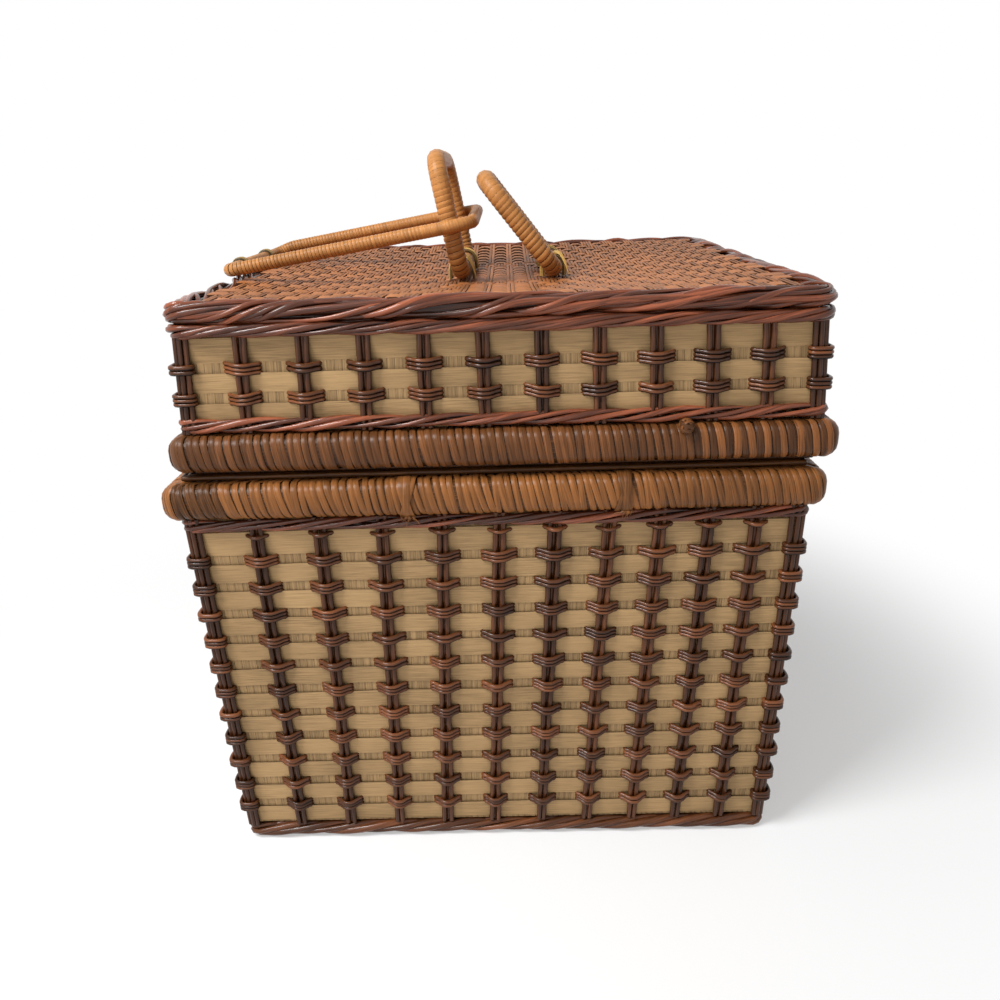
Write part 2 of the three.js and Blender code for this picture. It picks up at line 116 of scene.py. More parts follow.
# Millimetres of the stakes and clasps
CANE_SIDES = 8
CANE_STEPS = 4  # bends of an upright cane in one row
STAKE_STAND = 0.3  # from the wall's face out to a stake's canes
STAKE_SPREAD = (2.0, 2.5)  # from a stake's middle to its outer canes, at the bottom and at the top
STAKE_SUNK = 2.2  # how far the middle cane lies behind its neighbours
STAKE_RIPPLE = 0.3  # how far a stake goes out and in with the rows
STAKE_STRAY = 0.1  # how far a cane strays sideways at each bend
BOX_CLASPS = (0.74, 1.02)  # shares of the clasp width at the bottom and at the top of the box
LID_CLASPS = (0.9, 0.9)
TOP_CLASP = 0.65  # share of its width that a clasp has under the rim
CLASP_VARIES = (0.92, 1.05)  # shares of its width between which a clasp lies by chance
CLASP_PAIRS = 0.35  # how often a clasp has two canes instead of three
PAIR_CANE = 1.18  # how thick the canes of a pair are
TRIPLE_CANE = 0.97
CLASP_PACK = 0.95  # how close the canes of a clasp lie, as a share of their thickness
CLASP_PLACES = (0.2, 0.42, 0.58, 0.75, 0.9, 0.97, 1)  # from a clasp's middle to where it bends
CLASP_DROP = 0.2  # from a clasp's highest point to its first bend
CLASP_FALL = (0.75, 0.5)  # shares of that height that are left at the next two bends
CLASP_REST = 1.4  # how high a clasp's cane lies on the splints beside the stake
CLASP_DIP = 0.4  # how far it has sunk from there at the next bend
CLASP_SUNK = 2.4  # how far a clasp's ends go in behind the splints
CLASP_LOOSE = 0.5  # how far a clasp's cane may stand off the stake
CLASP_SKEW = 0.35
CLASP_SAG = 0.1  # how far a clasp hangs for each millimetre that it stands out
CORNER_STEPS = 17
CORNER_CENTRE = 4  # from a corner's edge in to the point that its clasps turn round
CORNER_CANES = (1.8, 5.7)  # from the edge along each face
CORNER_EDGE = 0.55  # how far out the edge's own cane stands, beside the others
CORNER_REACH = 0.68  # share of the clasp width that a corner's clasp takes on each face
CORNER_SQUARE = 5  # the higher, the squarer a clasp turns the corner
CORNER_DIVE = 6  # the higher, the shorter the ends that go in
CORNER_ANGLE = 1.25 * math.pi  # the way out of the front left corner

# Millimetres of the ropes and braids
ROPE_STEP = 5
ROPE_WAVES = (6, 17)  # how often a rod strays on its way round, at least and below what
ROPE_SLIP = 0.3  # how far a rod slips round the rope, for each millimetre that it strays
ROD_SWELL = 0.2  # how much a rod's thickness varies
ROD_PATCH = 0.2  # how much its shade varies along it
BRAID_OUT = 4.2  # how far a rim's braid stands out from the wall
BRAID_DROP = 4.6  # from the end of a wall to the middle of its braid
BORDER_CORNER = 15
BASE_CORNER = 10
BASE_SPREAD = 2.6
BASE_CLEAR = 0.6  # share of a rod's thickness that it keeps off the floor

# Millimetres of the wrappings and panels
WRAP_THICKNESS = 0.9  # with its lift
WRAP_CANE = 0.8
WRAP_CROWN = 0.45
WRAP_STEPS = 22
WRAP_NUDGE = 0.09  # share of its width by which a turn strays along the rim
WRAP_LEAN = 0.35  # share by which its slant varies
WRAP_LIFT = (-0.3, 0.5)
WRAP_WIDTHS = (0.78, 1.0)
CORE_DEPTH = 0.5  # from the wrapping in to the rim's core
CORE_STEPS = 14
RIM_STEPS = 9  # points on each round of a rim's section
HOOP_STEP = 8
LEDGE_CANES = (13.2, 16.2)  # from a rim's outer face in to the canes that the rims meet on
LID_STRIPES = (300, 400)  # along the front, where the lid rim is striped
BOX_DARK_LEFT = 30  # along the front, up to where the box rim is darkest
# Along the front, where the box rim's wrapping is painted in shade
BOX_SHADED_RIGHT = (290, 400)
PANEL_OVERLAP = 5.5  # how far the panel's splints run in among the border's rods
PANEL_DOWN = 1.5  # from the panel's surface down to the middle of its weave
PANEL_RISE = 1.1
PANEL_SPLINT = 1.0
PANEL_GAP = 1.6  # between the broad splints
PANEL_SLIT = 0.4  # between the narrow ones
WEFT_CROWN = 0.3
WARP_CROWN = 0.25
WARP_PAIR = (-0.25, 0.25)  # places of a pair's warps, in shares of their pitch
WARP_BENDS = (-0.3, 0, 0.3)  # where a warp bends on a weft, in shares of the wefts' pitch
BASE_OVERLAP = 3
BASE_GAP = 0.4
BASE_SPLINT = 0.9
BASE_CROWN = 0.2
BASE_RISE = 0.7

# Millimetres of the handles and ties
BINDING = 0.7  # thickness of the cane bound round the handles
BIND_STEPS = 12  # in one turn
BIND_WIDTHS = (0.86, 1.02)  # shares of its width that the cane shows at the foot and at the top
HANDLE_STEP = 4
ARC_STEPS = 13  # points on a handle's corner or on a tie's bend
LOOP_CROWNS = (0.2, 0.1)
RING_CROWNS = {"left_ring": (0.5, 0.12), "right_ring": (0.5, 0.3)}
TIE_THICKNESS = 1.5
TIE_CROWN = 0.5
TIE_SUNK = 0.5  # from the CAD tie's face in to the cane's
TIE_PITCH = 0.8  # from turn to turn, as a share of the cane's width
TIE_SKEW = 0.3
TIE_SLACK = {"left_ring": 1.6, "right_ring": 1.6, "closing_loop": 0.2}
TAIL = ((0, 0, 0), (6, -2, 3), (10, -6, -3), (13, -9, -13))  # the way of a loose end from its tie
TAIL_SECTION = (2.6, 1.0, 0.3)  # width, thickness and crown
TAIL_FACING = (0.5, -1, 0.4)
TAIL_ROOT = 0.3  # share of the tie's radius by which it starts to the left
TAIL_POINT = 0.5  # share of its length over which it is drawn to a point
HINGE_CANES = 3
HINGE_CANE = (0.8, 0.25)  # thickness and crown
HINGE_FILL = 0.94  # share of its place that a hinge's cane fills
HINGE_STEPS = 12
HINGE_SUNK = 0.5
HINGE_BEND = (50, -180)  # degrees between which a hinge's cane goes round the hinge line
HINGE_FLAT = 0.62  # share of its reach at which it leaves the rim's face
STRIP_SECTION = (4.4, 0.7, 0.35)  # width, thickness and crown
STRIP_STEPS = 48  # round the whole rim
STRIP_STRAY = 1
STRIPS = ((0.28, 0.2), (-0.24, 0.7), (0.05, 0.9))  # how far each strip leans and lies out
FRAYS = 9
FRAY_CANE = 1.1
FRAY_STRAY = 2
FRAY_ROOT = (4, 2)  # in from the rim's face and up from its bottom
FRAY_OUT = (0, -3, -1)  # from there to its first bend
FRAY_BEND = 0.6  # share of its fall at the second bend
FRAY_POINT = 0.6
FRAY_FALL = ((0, -1.5, -5), (2.5, 1.5, 1.5))  # how a frayed end hangs, and how far that varies
KNOT_CANE = 2.7
KNOT_SUNK = 1.2
KNOT_PITCH = 1.5
KNOT_STEPS = 20
KNOT_TURNS = (((1, 0.2, 0.4), 0), ((-0.3, 1, 0.3), 0.3), ((0.2, -0.2, 1), 0.6))  # pole and lift
KNOT_START = (0.3, 0.5, 0.8)

# Shades of strands, from dark at 0 to light at 1: the middle, and the spread to either side
# The uprights are painted darker than the rows: painted shade of the recess between the rows
UPRIGHT_PAINTED_SHADE = (0.28, 0.15)
HIDDEN_SHADE = (0.5, 0.15)
CORNER_SHADE = (0.2, 0.15)
# The wefts are painted lighter than the warps: painted light on the floats and painted shade on the
# warps
WEFT_PAINTED_LIGHT = (0.66, 0.2)
WARP_PAINTED_SHADE = (0.45, 0.3)
BASE_SHADE = (0.5, 0.2)
HINGE_SHADE = (0.45, 0.25)
STRIP_SHADE = (0.35, 0.2)
FRAY_SHADE = (0.4, 0.3)
KNOT_SHADE = (0.5, 0.3)
TIE_SHADES = {"left_ring": (0.55, 0.2), "right_ring": (0.55, 0.2), "closing_loop": (0, 0.2)}
TAIL_SHADE = 0.85

# Shades of bundles: the darkest, how much lighter one may be, and the spread among its canes
# Stakes are painted darker than the clasps: painted shade, as they lie behind them
STAKE_PAINTED_SHADES = (0.12, 0.4, 0.15)
CLASP_SHADES = (0.3, 0.6, 0.2)

# Shades between which strands lie by chance, and those of the rims' and handles' ends
ROW_SHADES = (0.3, 0.72)
ROD_SHADES = (0.25, 0.75)
BIND_SHADES = (0.35, 0.65)
# The binding is painted darker towards a handle's foot: painted shade
BIND_FOOT_PAINTED_SHADE = 0.65  # how much of its shade the binding keeps at a handle's foot
LID_RIM_SHADES = (0.3, 0.58)
LID_STRIPE_SHADES = (0.78, 0.2)
BOX_RIM_SHADES = (0.42, 0.68)
# How much darker the painted shade makes the box rim there
BOX_PAINTED_SHADE = 0.22
BOX_DARKEST = 0.05

# The canes' grain and colour, in millimetres and shares
FIBRE_LENGTH = 22
BLOTCH = 45
FIBRE_DEPTH = 0.4
SHADE_WEIGHT = 0.6  # of a strand's own shade, beside its streaks
RAMP = (0.15, 0.5, 0.85)  # tones at which a cane is dark, of its own colour and light
GLOSS_VARIES = (-0.1, 0.12)  # what the streaks add to the roughness
GRAIN_APART = 4000  # along the grain, within which strands take their places by chance
# Marked faces are painted darker: cut edges and ends with stain and painted shade of the gaps
# between strands, the hidden side of a round cane with painted shade
EDGE_STAIN_AND_SHADE = 0.22  # how much of its colour a splint keeps at its cut edges
PAINTED_SHADE_SIDE = 0.3  # share of its radius behind which a round cane's faces are hidden
SHARP_ANGLE = 60
TINY = 1e-6

# The camera in metres and degrees, its lens and sensor in millimetres, and the floor and the
# lamps in metres and watts
CAMERA_PLACE = (0.012, -0.661, 0.443)
CAMERA_LENS = 30.13
CAMERA_SENSOR = 36
CAMERA_YAW = -0.95
CAMERA_PITCH = 21.29
CAMERA_ROLL = 1.83
FLOOR_REACH = 6
FLOOR_DROP = 0.0005
FLOOR_NEAR = 0.28  # from the middle, within which the floor shows most of its own shading
FLOOR_FAR = 0.6  # beyond which it is plain white
FLOOR_WHITE = 0.4  # how white the near floor is without its shading
ROOM_LIGHT = 0.28  # strength of the white room as a light
LAMP_TARGET = (0, 0, 0.25)
KEY_LAMP = {"place": (-0.8, -0.68, 1.5), "size": 0.6, "watts": 29}
FRONT_LAMP = {"place": (-0.8, -1.7, 0.8), "size": 1.2, "watts": 6}


def linear(hex_colour):
    """An sRGB hex colour as linear red, green and blue."""
    channels = [int(hex_colour[i : i + 2], 16) / 255 for i in (1, 3, 5)]
    return [c / 12.92 if c <= 0.04045 else ((c + 0.055) / 1.055) ** 2.4 for c in channels]


def length(name, description, millimetres):
    """A length that a user can change."""
    return bpy.props.FloatProperty(
        name=name, description=description, default=millimetres * MM,
        min=0, unit="LENGTH", precision=4,
    )


def count(name, description, number):
    """A number of like things that a user can change."""
    return bpy.props.IntProperty(name=name, description=description, default=number, min=2)


def tilt(name, description, degrees):
    """An angle that a user can change."""
    return bpy.props.FloatProperty(
        name=name, description=description, default=math.radians(degrees), subtype="ANGLE"
    )


def colour(name, description, hex_colour):
    """A colour that a user can change, given as sRGB hex."""
    return bpy.props.FloatVectorProperty(
        name=name, description=description, default=linear(hex_colour),
        subtype="COLOR", size=3, min=0, max=1,
    )


class BasketWeave(bpy.types.PropertyGroup):
    """Sizes of the woven walls and of the lid's panel."""

    bays: count("Bays", "Spaces between stakes along one side", 11)
    box_rows: count("Box rows", "Pale rows in the box's walls", 12)
    lid_rows: count("Lid rows", "Pale rows in the lid's walls", 3)
    box_pitch: length("Box row pitch", "Height from one pale row of the box to the next", 19.3)
    lid_pitch: length("Lid row pitch", "Height from one pale row of the lid to the next", 17.6)
    box_splint: length("Box splint", "Height of one pale row of the box", 13.0)
    lid_splint: length("Lid splint", "Height of one pale row of the lid", 11.6)
    stake_cane: length("Stake cane", "Thickness of the round canes in a stake", 3.4)
    clasp_cane: length("Clasp cane", "Thickness of the round canes that clasp a stake", 2.6)
    clasp_width: length("Clasp width", "Width of a clasp from hole to hole", 22)
    box_drift_top: length("Box drift, top", "How far middle stakes stand off even spacing", 21)
    box_drift_bottom: length("Box drift, bottom", "The same at the bottom of the box", 10)
    lid_drift: length("Lid drift", "How far the lid's middle stakes stand off even spacing", 7.5)
    panel_warp: length("Panel warp", "Pitch of the narrow splints in the lid's panel", 5.0)
    panel_weft: length("Panel weft", "Pitch of the broad splints in the lid's panel", 15.0)
    base_splint: length("Base splint", "Pitch of the splints in the box's bottom", 11.0)


class BasketCanes(bpy.types.PropertyGroup):
    """Sizes of the ropes, the wrapped rims and the handles."""

    rope_cane: length("Rope cane", "Thickness of the rods in the lid's border", 3.6)
    braid_cane: length("Braid cane", "Thickness of the rods in the braids along the rims", 3.6)
    base_cane: length("Base cane", "Thickness of the rods in the base braid", 4.8)
    lid_wrap: length("Lid wrapping", "Width of the flat cane round the lid rim", 4.6)
    box_wrap: length("Box wrapping", "Width of the flat cane round the box rim", 4.3)
    lid_slant: length("Lid slant", "How far the lid rim's wrapping leans over its height", 2.0)
    box_slant: length("Box slant", "How far the box rim's wrapping leans over its height", 3.5)
    ring_wrap: length("Ring wrapping", "Width of the cane bound round the ring handles", 3.7)
    loop_wrap: length("Loop wrapping", "Width of the cane bound round the closing loop", 2.6)
    tie_width: length("Tie width", "Width of the split cane in a tie", 2.4)
    left_ring_lean: tilt("Left ring lean", "How far the left ring leans at rest", -10.5)
    right_ring_lean: tilt("Right ring lean", "How far the right ring leans at rest", -38)


class BasketColours(bpy.types.PropertyGroup):
    """Colours of the splints and canes."""

    splint: colour("Pale splint", "Shaved splint of the walls", "#ab8b62")
    cane: colour("Brown cane", "Stained round cane of stakes and clasps", "#532f19")
    rope: colour("Dark cane", "Stained rods of the border and the braids", "#62331f")
    lid_rim: colour("Russet wrapping", "Flat cane round the lid rim", "#673f21")
    box_rim: colour("Golden wrapping", "Flat cane round the box rim", "#82522a")
    handle: colour("Honey wrapping", "Cane bound round the handles", "#bb8048")
    panel: colour("Chevron splint", "Stained splint of the lid's panel", "#985f36")
    tie: colour("Raw split cane", "Split cane of the ties", "#c9a259")


def unit(vectors):
    """One vector, or one to a row, at length one."""
    return vectors / np.linalg.norm(vectors, axis=-1, keepdims=True)


def onward(path, steps=1):
    """The way from some steps before each point of a closed line to as many after it."""
    return np.roll(path, -steps, 0) - np.roll(path, steps, 0)


def square_to(ahead, facing):
    """Directions turned square to the way ahead, one to a row."""
    facing = np.broadcast_to(np.asarray(facing, float), ahead.shape)
    return unit(facing - (facing * ahead).sum(1, keepdims=True) * ahead)


def walked(points):
    """How far along a line each of its points lies."""
    steps = np.linalg.norm(np.diff(points, axis=0), axis=1)
    return np.concatenate([[0], np.cumsum(steps)])


def between(places, known, rows):
    """Rows of numbers at some places, from the rows at known ones."""
    return np.stack([np.interp(places, known, column) for column in rows.T], 1)


class Strands:
    """Strands gathered into one mesh, each with its own shade and its own place along the grain.
    Faces painted darker are marked: cut edges and ends, for stain and for painted shade in the
    gaps between strands, and the hidden side of round canes, for painted shade."""

    def __init__(self, seed):
        self.chance = np.random.default_rng(seed)
        self.points, self.grain, self.shade = [], [], []
        self.quads, self.edges, self.caps = [], [], []
        self.count = 0

    def add(self, path, outward, section, closed=False, shade=None):
        """Sweeps a section of (outwards, sideways) offsets along a path, all in millimetres."""
        path = np.asarray(path, float)
        section = np.asarray(section, float)
        steps, sides = len(path), section.shape[-2]
        section = np.broadcast_to(section, (steps, sides, 2))
        tangent = unit(onward(path) if closed else np.gradient(path, axis=0))
        outward = square_to(tangent, outward)
        sideways = np.cross(tangent, outward)
        offset = section[..., :1] * outward[:, None]
        swept = path[:, None] + offset + section[..., 1:] * sideways[:, None]
        along = walked(path) + self.chance.random() * GRAIN_APART
        along = np.broadcast_to(along[:, None, None], (steps, sides, 1))
        shade = self.chance.random() if shade is None else shade
        self.points.append(swept.reshape(-1, 3))
        self.grain.append(np.concatenate([along, section], 2).reshape(-1, 3))
        self.shade.append(np.repeat(np.broadcast_to(shade, steps), sides))
        rows = np.arange(steps if closed else steps - 1)
        i, j = np.meshgrid(rows, np.arange(sides), indexing="ij")
        here, after = i * sides, (i + 1) % steps * sides
        beside = (j + 1) % sides
        quads = np.stack([here + j, here + beside, after + beside, after + j], -1)
        self.quads.append(quads.reshape(-1, 4) + self.count)
        out, side = section[0].T
        # Cut edges are marked for stain and painted shade, the hidden side of a round cane for
        # painted shade
        is_cut = np.abs(side - np.roll(side, -1)) < TINY
        is_round = abs(out.sum()) < TINY
        is_painted_shade = is_round & (out + np.roll(out, -1) < -PAINTED_SHADE_SIDE * out.max())
        self.edges.append(np.tile(is_cut | is_painted_shade, len(rows)))
        if not closed:
            first = self.count + np.arange(sides)
            self.caps += [first[::-1].tolist(), (first + (steps - 1) * sides).tolist()]
        self.count += steps * sides

    def near(self, tone, spread):
        """A shade by chance, within a spread round a tone."""
        return float(np.clip(tone + self.chance.uniform(-spread, spread), 0, 1))

    def bundled(self, tone, shades):
        """A shade by chance for one strand of a bundle that has its own tone."""
        darkest, lighter, spread = shades
        return self.near(darkest + lighter * tone, spread)

    def piece(self, name, body, slot, material, nodes=(), turn=0, shift=0.0):
        """The gathered strands as one object that rides on a body and stands for CAD nodes, after
        quarter turns round the basket's middle and a shift to the right."""
        c, s = math.cos(turn * math.pi / 2), math.sin(turn * math.pi / 2)
        points = np.concatenate(self.points) @ np.array([[c, s, 0], [-s, c, 0], [0, 0, 1]])
        points[:, 0] += shift
        mesh = bpy.data.meshes.new(name)
        faces = np.concatenate(self.quads).tolist() + self.caps
        mesh.from_pydata((points * MM).tolist(), [], faces)
        grain = np.concatenate(self.grain) * MM
        edges = np.concatenate([*self.edges, np.ones(len(self.caps))])
        for key, kind, domain, field, values in (
            ("grain", "FLOAT_VECTOR", "POINT", "vector", grain),
            ("edge", "FLOAT", "FACE", "value", edges),
            ("shade", "FLOAT", "POINT", "value", np.concatenate(self.shade)),
        ):
            mesh.attributes.new(key, kind, domain).data.foreach_set(field, values.ravel())
        mesh.polygons.foreach_set("use_smooth", np.ones(len(mesh.polygons), bool))
        mesh.set_sharp_from_angle(angle=math.radians(SHARP_ANGLE))
        mesh.materials.append(material)
        piece = bpy.data.objects.new(name, mesh)
        bpy.context.scene.collection.objects.link(piece)
        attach(piece, body)
        if nodes:
            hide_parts(*nodes)


def round_section(diameter, sides=7):
    """The outline of a round cane."""
    turn = np.arange(sides) * 2 * math.pi / sides
    return diameter / 2 * np.stack([np.cos(turn), np.sin(turn)], 1)


def splint_section(width, thickness, crown, steps=4):
    """The outline of a flat splint whose outer face is crowned."""
    across = np.linspace(-0.5, 0.5, steps + 1)
    rise = crown * (1 - (2 * across) ** 4)
    outer = np.stack([rise, across * width], 1)
    inner = np.stack([rise - thickness, across * width], 1)[::-1]
    return np.concatenate([outer, inner])


def pointed(section, steps, share, tip=0.12):
    """A section for each step of a path, drawn to a thin tip over a share of its end."""
    scale = np.clip((1 - np.linspace(0, 1, steps)) / share, tip, 1)
    return section * scale[:, None, None]


def smooth(points, times=2):
    """An open line with its corners cut, the ends kept."""
    points = np.asarray(points, float)
    for _ in range(times):
        near = 0.75 * points[:-1] + 0.25 * points[1:]
        far = 0.25 * points[:-1] + 0.75 * points[1:]
        cut = np.stack([near, far], 1).reshape(-1, points.shape[1])
        points = np.concatenate([points[:1], cut, points[-1:]])
    return points


def on_front(x, out, z):
    """Points on the front side, from places along it, out of the middle and up."""
    x, out, z = np.broadcast_arrays(x, out, z)
    return np.stack([x, -out, z], -1).astype(float)


def extent(node):
    """A node's lowest and highest corner in millimetres."""
    low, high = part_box(node)
    return np.array(low) / MM, np.array(high) / MM


def in_mm(name):
    """A length from the settings in millimetres."""
    scene = bpy.context.scene
    group = scene.basket_canes if name in BasketCanes.__annotations__ else scene.basket_weave
    return getattr(group, name) / MM


def square(node):
    """Half the width of a square node, its middle from left to right, its bottom and its top."""
    low, high = extent(node)
    return (high[0] - low[0]) / 2, (low[0] + high[0]) / 2, low[2], high[2]


def joint_place(name):
    """A joint's place in millimetres."""
    joint = next(j for j in frame["joints"] if j["name"] == name)
    return np.array(joint["pos_m"]) / MM


def round_square(share, half, corner, inwards):
    """Places and outward directions on a square with round corners, by the share of the way round,
    which starts at the left of the front and goes anticlockwise. Inwards is from the outer face."""
    share = np.asarray(share, float) % 1
    straight = 2 * (half - corner)
    arc = corner * math.pi / 2
    turn = np.floor(share * 4)
    along = (straight + arc) * share * 4 - turn * (straight + arc)
    radius = np.maximum(corner - inwards, 0.5)
    reach = half - inwards - radius
    angle = np.clip((along - straight) / arc, 0, 1) * math.pi / 2
    c, s = np.cos(turn * math.pi / 2), np.sin(turn * math.pi / 2)

    def turned(x, y):
        return np.stack([c * x - s * y, s * x + c * y], -1)

    x = np.clip(along / straight, 0, 1) * 2 * reach - reach + radius * np.sin(angle)
    y = -reach - radius * np.cos(angle)
    return turned(x, y), turned(np.sin(angle), -np.cos(angle))


class Storey:
    """The lean, rows and stakes of the box's or the lid's walls, in millimetres, as they lie on the
    front."""

    def __init__(self, prefix):
        sizes = bpy.context.scene.basket_weave
        is_box = prefix == "box"
        wall = frame["nodes"][f"{prefix}_wall_front"].data.vertices
        x, y, z = np.array([v.co for v in wall]).T / MM
        self.low, self.high = z.min(), z.max()
        self.shift = (x.min() + x.max()) / 2
        self.face_low = BAND - y[z < self.low + WALL_END].min()
        self.face_high = BAND - y[z > self.high - WALL_END].min()
        self.bays = sizes.bays
        self.rows = getattr(sizes, f"{prefix}_rows")
        self.pitch = in_mm(f"{prefix}_pitch")
        self.splint = in_mm(f"{prefix}_splint")
        drifts = ("box_drift_bottom", "box_drift_top") if is_box else ("lid_drift",) * 2
        self.drift_low, self.drift_high = (in_mm(drift) for drift in drifts)
        bottom = self.low if is_box else self.low + BRAID_HEIGHT
        top = self.high - LAST_CLASP - (BRAID_HEIGHT if is_box else 0)
        first = (bottom + top - (self.rows - 1) * self.pitch) / 2
        self.row_heights = first + np.arange(self.rows) * self.pitch
        self.clasp_heights = self.row_heights + self.pitch / 2
        self.stake_clasps = self.clasp_heights if is_box else self.clasp_heights[:-1]
        self.clasp_shares = BOX_CLASPS if is_box else LID_CLASPS
        self.cane_heights = np.linspace(self.low, self.high, CANE_STEPS * self.rows + 3)

    def share(self, z):
        """How far up the wall a height lies."""
        return (np.asarray(z) - self.low) / (self.high - self.low)

    def half(self, z):
        """From the middle of the basket to the wall's face at a height."""
        return self.face_low + (self.face_high - self.face_low) * self.share(z)

    def clasp_share(self, z):
        """How wide a clasp is at a height, as a share of the full width."""
        return np.interp(self.share(z), (0, 1), self.clasp_shares)

    def stake_x(self, number, z):
        """Where a stake stands at a height, with the corners as the first and the last one."""
        part = number / self.bays
        drift = self.drift_low + (self.drift_high - self.drift_low) * self.share(z)
        return (2 * part - 1) * self.half(z) + drift * 4 * part * (1 - part)


def wall_uprights(strands, level):
    """The upright splints, which fill the bays between the stakes."""
    ends = np.array([level.low, level.high])
    for number in np.arange(level.bays * UPRIGHTS) / UPRIGHTS:
        near = level.stake_x(number, ends)
        far = level.stake_x(number + 1 / UPRIGHTS, ends)
        widths = far - near - UPRIGHT_SLIT
        section = [splint_section(width, SPLINT_THICKNESS, SPLINT_CROWN, 2) for width in widths]
        depth = UPRIGHT_DEPTH + strands.chance.uniform(0, UPRIGHT_STRAY)
        path = on_front((near + far) / 2, level.half(ends) - depth, ends)
        strands.add(path, FRONT, section, shade=strands.near(*UPRIGHT_PAINTED_SHADE))


def wall_rows(strands, level):
    """The pale rows, which dive behind the stakes and stand out between them."""
    numbers = np.arange(level.bays + 1)
    share = np.append((np.arange(level.bays)[:, None] + ROW_STATIONS).ravel(), level.bays)
    bulge = 1 - np.abs(2 * (share % 1) - 1) ** ROW_BULGE
    for z in level.row_heights:
        extra = TOP_ROW if z == level.row_heights[-1] else 0
        row = splint_section(level.splint + extra, SPLINT_THICKNESS, ROW_CROWN)
        row[:, 0] -= ROW_LEAN * row[:, 1] / level.splint
        knots = level.stake_x(numbers, z)
        knots[[0, -1]] += (CORNER_TUCK, -CORNER_TUCK)
        out = level.half(z) - ROW_DIVE + (ROW_DIVE + ROW_STAND) * bulge
        sway = np.interp(share, numbers, strands.chance.normal(0, ROW_SWAY, len(numbers)))
        path = on_front(np.interp(share, numbers, knots), out, z + extra / 2 + sway)
        patch = np.interp(share, numbers, strands.chance.uniform(*ROW_SHADES, len(numbers)))
        strands.add(path, FRONT, row, shade=patch)


def hidden_rows(strands, level):
    """The rows behind the uprights, which close the wall between the pale rows."""
    height = level.pitch - level.splint + HIDDEN_LAP
    section = splint_section(height, SPLINT_THICKNESS, SPLINT_CROWN)
    for z in level.clasp_heights[:-1]:
        reach = level.half(z) - UPRIGHT_DEPTH - 2 * SPLINT_THICKNESS
        path = on_front(np.array([-reach, reach]), reach, z)
        strands.add(path, FRONT, section, shade=strands.near(*HIDDEN_SHADE))


def weave_wall(prefix, turn, material):
    """One pale wall: upright splints, the rows over them and the rows behind them."""
    level = Storey(prefix)
    strands = Strands(SEEDS[f"{prefix}_wall"] + turn)
    wall_uprights(strands, level)
    wall_rows(strands, level)
    hidden_rows(strands, level)
    name, node = (f"{prefix}_{part}_{SIDES[turn]}" for part in ("splints", "wall"))
    strands.piece(name, prefix, "pale_splint", material, [node], turn, level.shift)


def upright_stake(strands, level, number):
    """One stake: three canes, of which the middle one is sunk between the others."""
    cane = in_mm("stake_cane")
    z = level.cane_heights
    ripple = STAKE_RIPPLE * np.cos(2 * math.pi * (z - level.row_heights[0]) / level.pitch)
    spread = np.interp(level.share(z), (0, 1), STAKE_SPREAD)
    tone = strands.chance.random()
    for place in (-1, 0, 1):
        stray = np.cumsum(strands.chance.normal(0, STAKE_STRAY, len(z)))
        x = level.stake_x(number, z) + place * spread + stray - stray.mean()
        sunk = 0 if place else STAKE_SUNK
        out = level.half(z) + STAKE_STAND + cane / 2 + ripple - sunk
        shade = strands.bundled(tone, STAKE_PAINTED_SHADES)
        strands.add(on_front(x, out, z), FRONT, round_section(cane, CANE_SIDES), shade=shade)


def clasp_canes(strands):
    """How high each cane of one clasp lies, and how thick they are."""
    number = 2 if strands.chance.random() < CLASP_PAIRS else 3
    thick = in_mm("clasp_cane") * (PAIR_CANE if number == 2 else TRIPLE_CANE)
    return (np.arange(number) - (number - 1) / 2) * thick * CLASP_PACK, thick


def stake_clasp(strands, level, number, height):
    """One clasp: canes that come out beside a stake, lie over it and go in again. Under the rim
    only the lowest of them shows."""
    is_top = height == level.clasp_heights[-1]
    width = in_mm("clasp_width") * strands.chance.uniform(*CLASP_VARIES)
    width *= TOP_CLASP if is_top else 1
    width *= level.clasp_share(height)
    skew = strands.chance.normal(0, CLASP_SKEW)
    tone = strands.chance.random()
    lifts, thick = clasp_canes(strands)
    along = np.concatenate([-np.array(CLASP_PLACES[::-1]), CLASP_PLACES])
    x = level.stake_x(number, height) + along * width / 2
    stand = STAKE_STAND + in_mm("stake_cane") + thick / 2
    for lift in lifts[:1] if is_top else lifts:
        top = stand + strands.chance.uniform(0, CLASP_LOOSE)
        over = [top - CLASP_DROP, *(share * top for share in CLASP_FALL)]
        half = np.array([*over, CLASP_REST, CLASP_REST - CLASP_DIP, 0, -CLASP_SUNK])
        out = np.concatenate([half[::-1], half])
        z = height + lift + skew * along - CLASP_SAG * np.maximum(out, 0)
        path = on_front(x, level.half(height) + out, z)
        strands.add(path, UP, round_section(thick), shade=strands.bundled(tone, CLASP_SHADES))


def cane_stakes(prefix, turn, material):
    """The brown stakes of one side, and the canes that clasp them to the wall."""
    level = Storey(prefix)
    strands = Strands(SEEDS[f"{prefix}_stakes"] + turn)
    for number in range(1, level.bays):
        upright_stake(strands, level, number)
        for height in level.stake_clasps:
            stake_clasp(strands, level, number, height)
    name, node = (f"{prefix}_{part}_{SIDES[turn]}" for part in ("stake_canes", "stakes"))
    strands.piece(name, prefix, "brown_cane", material, [node], turn, level.shift)


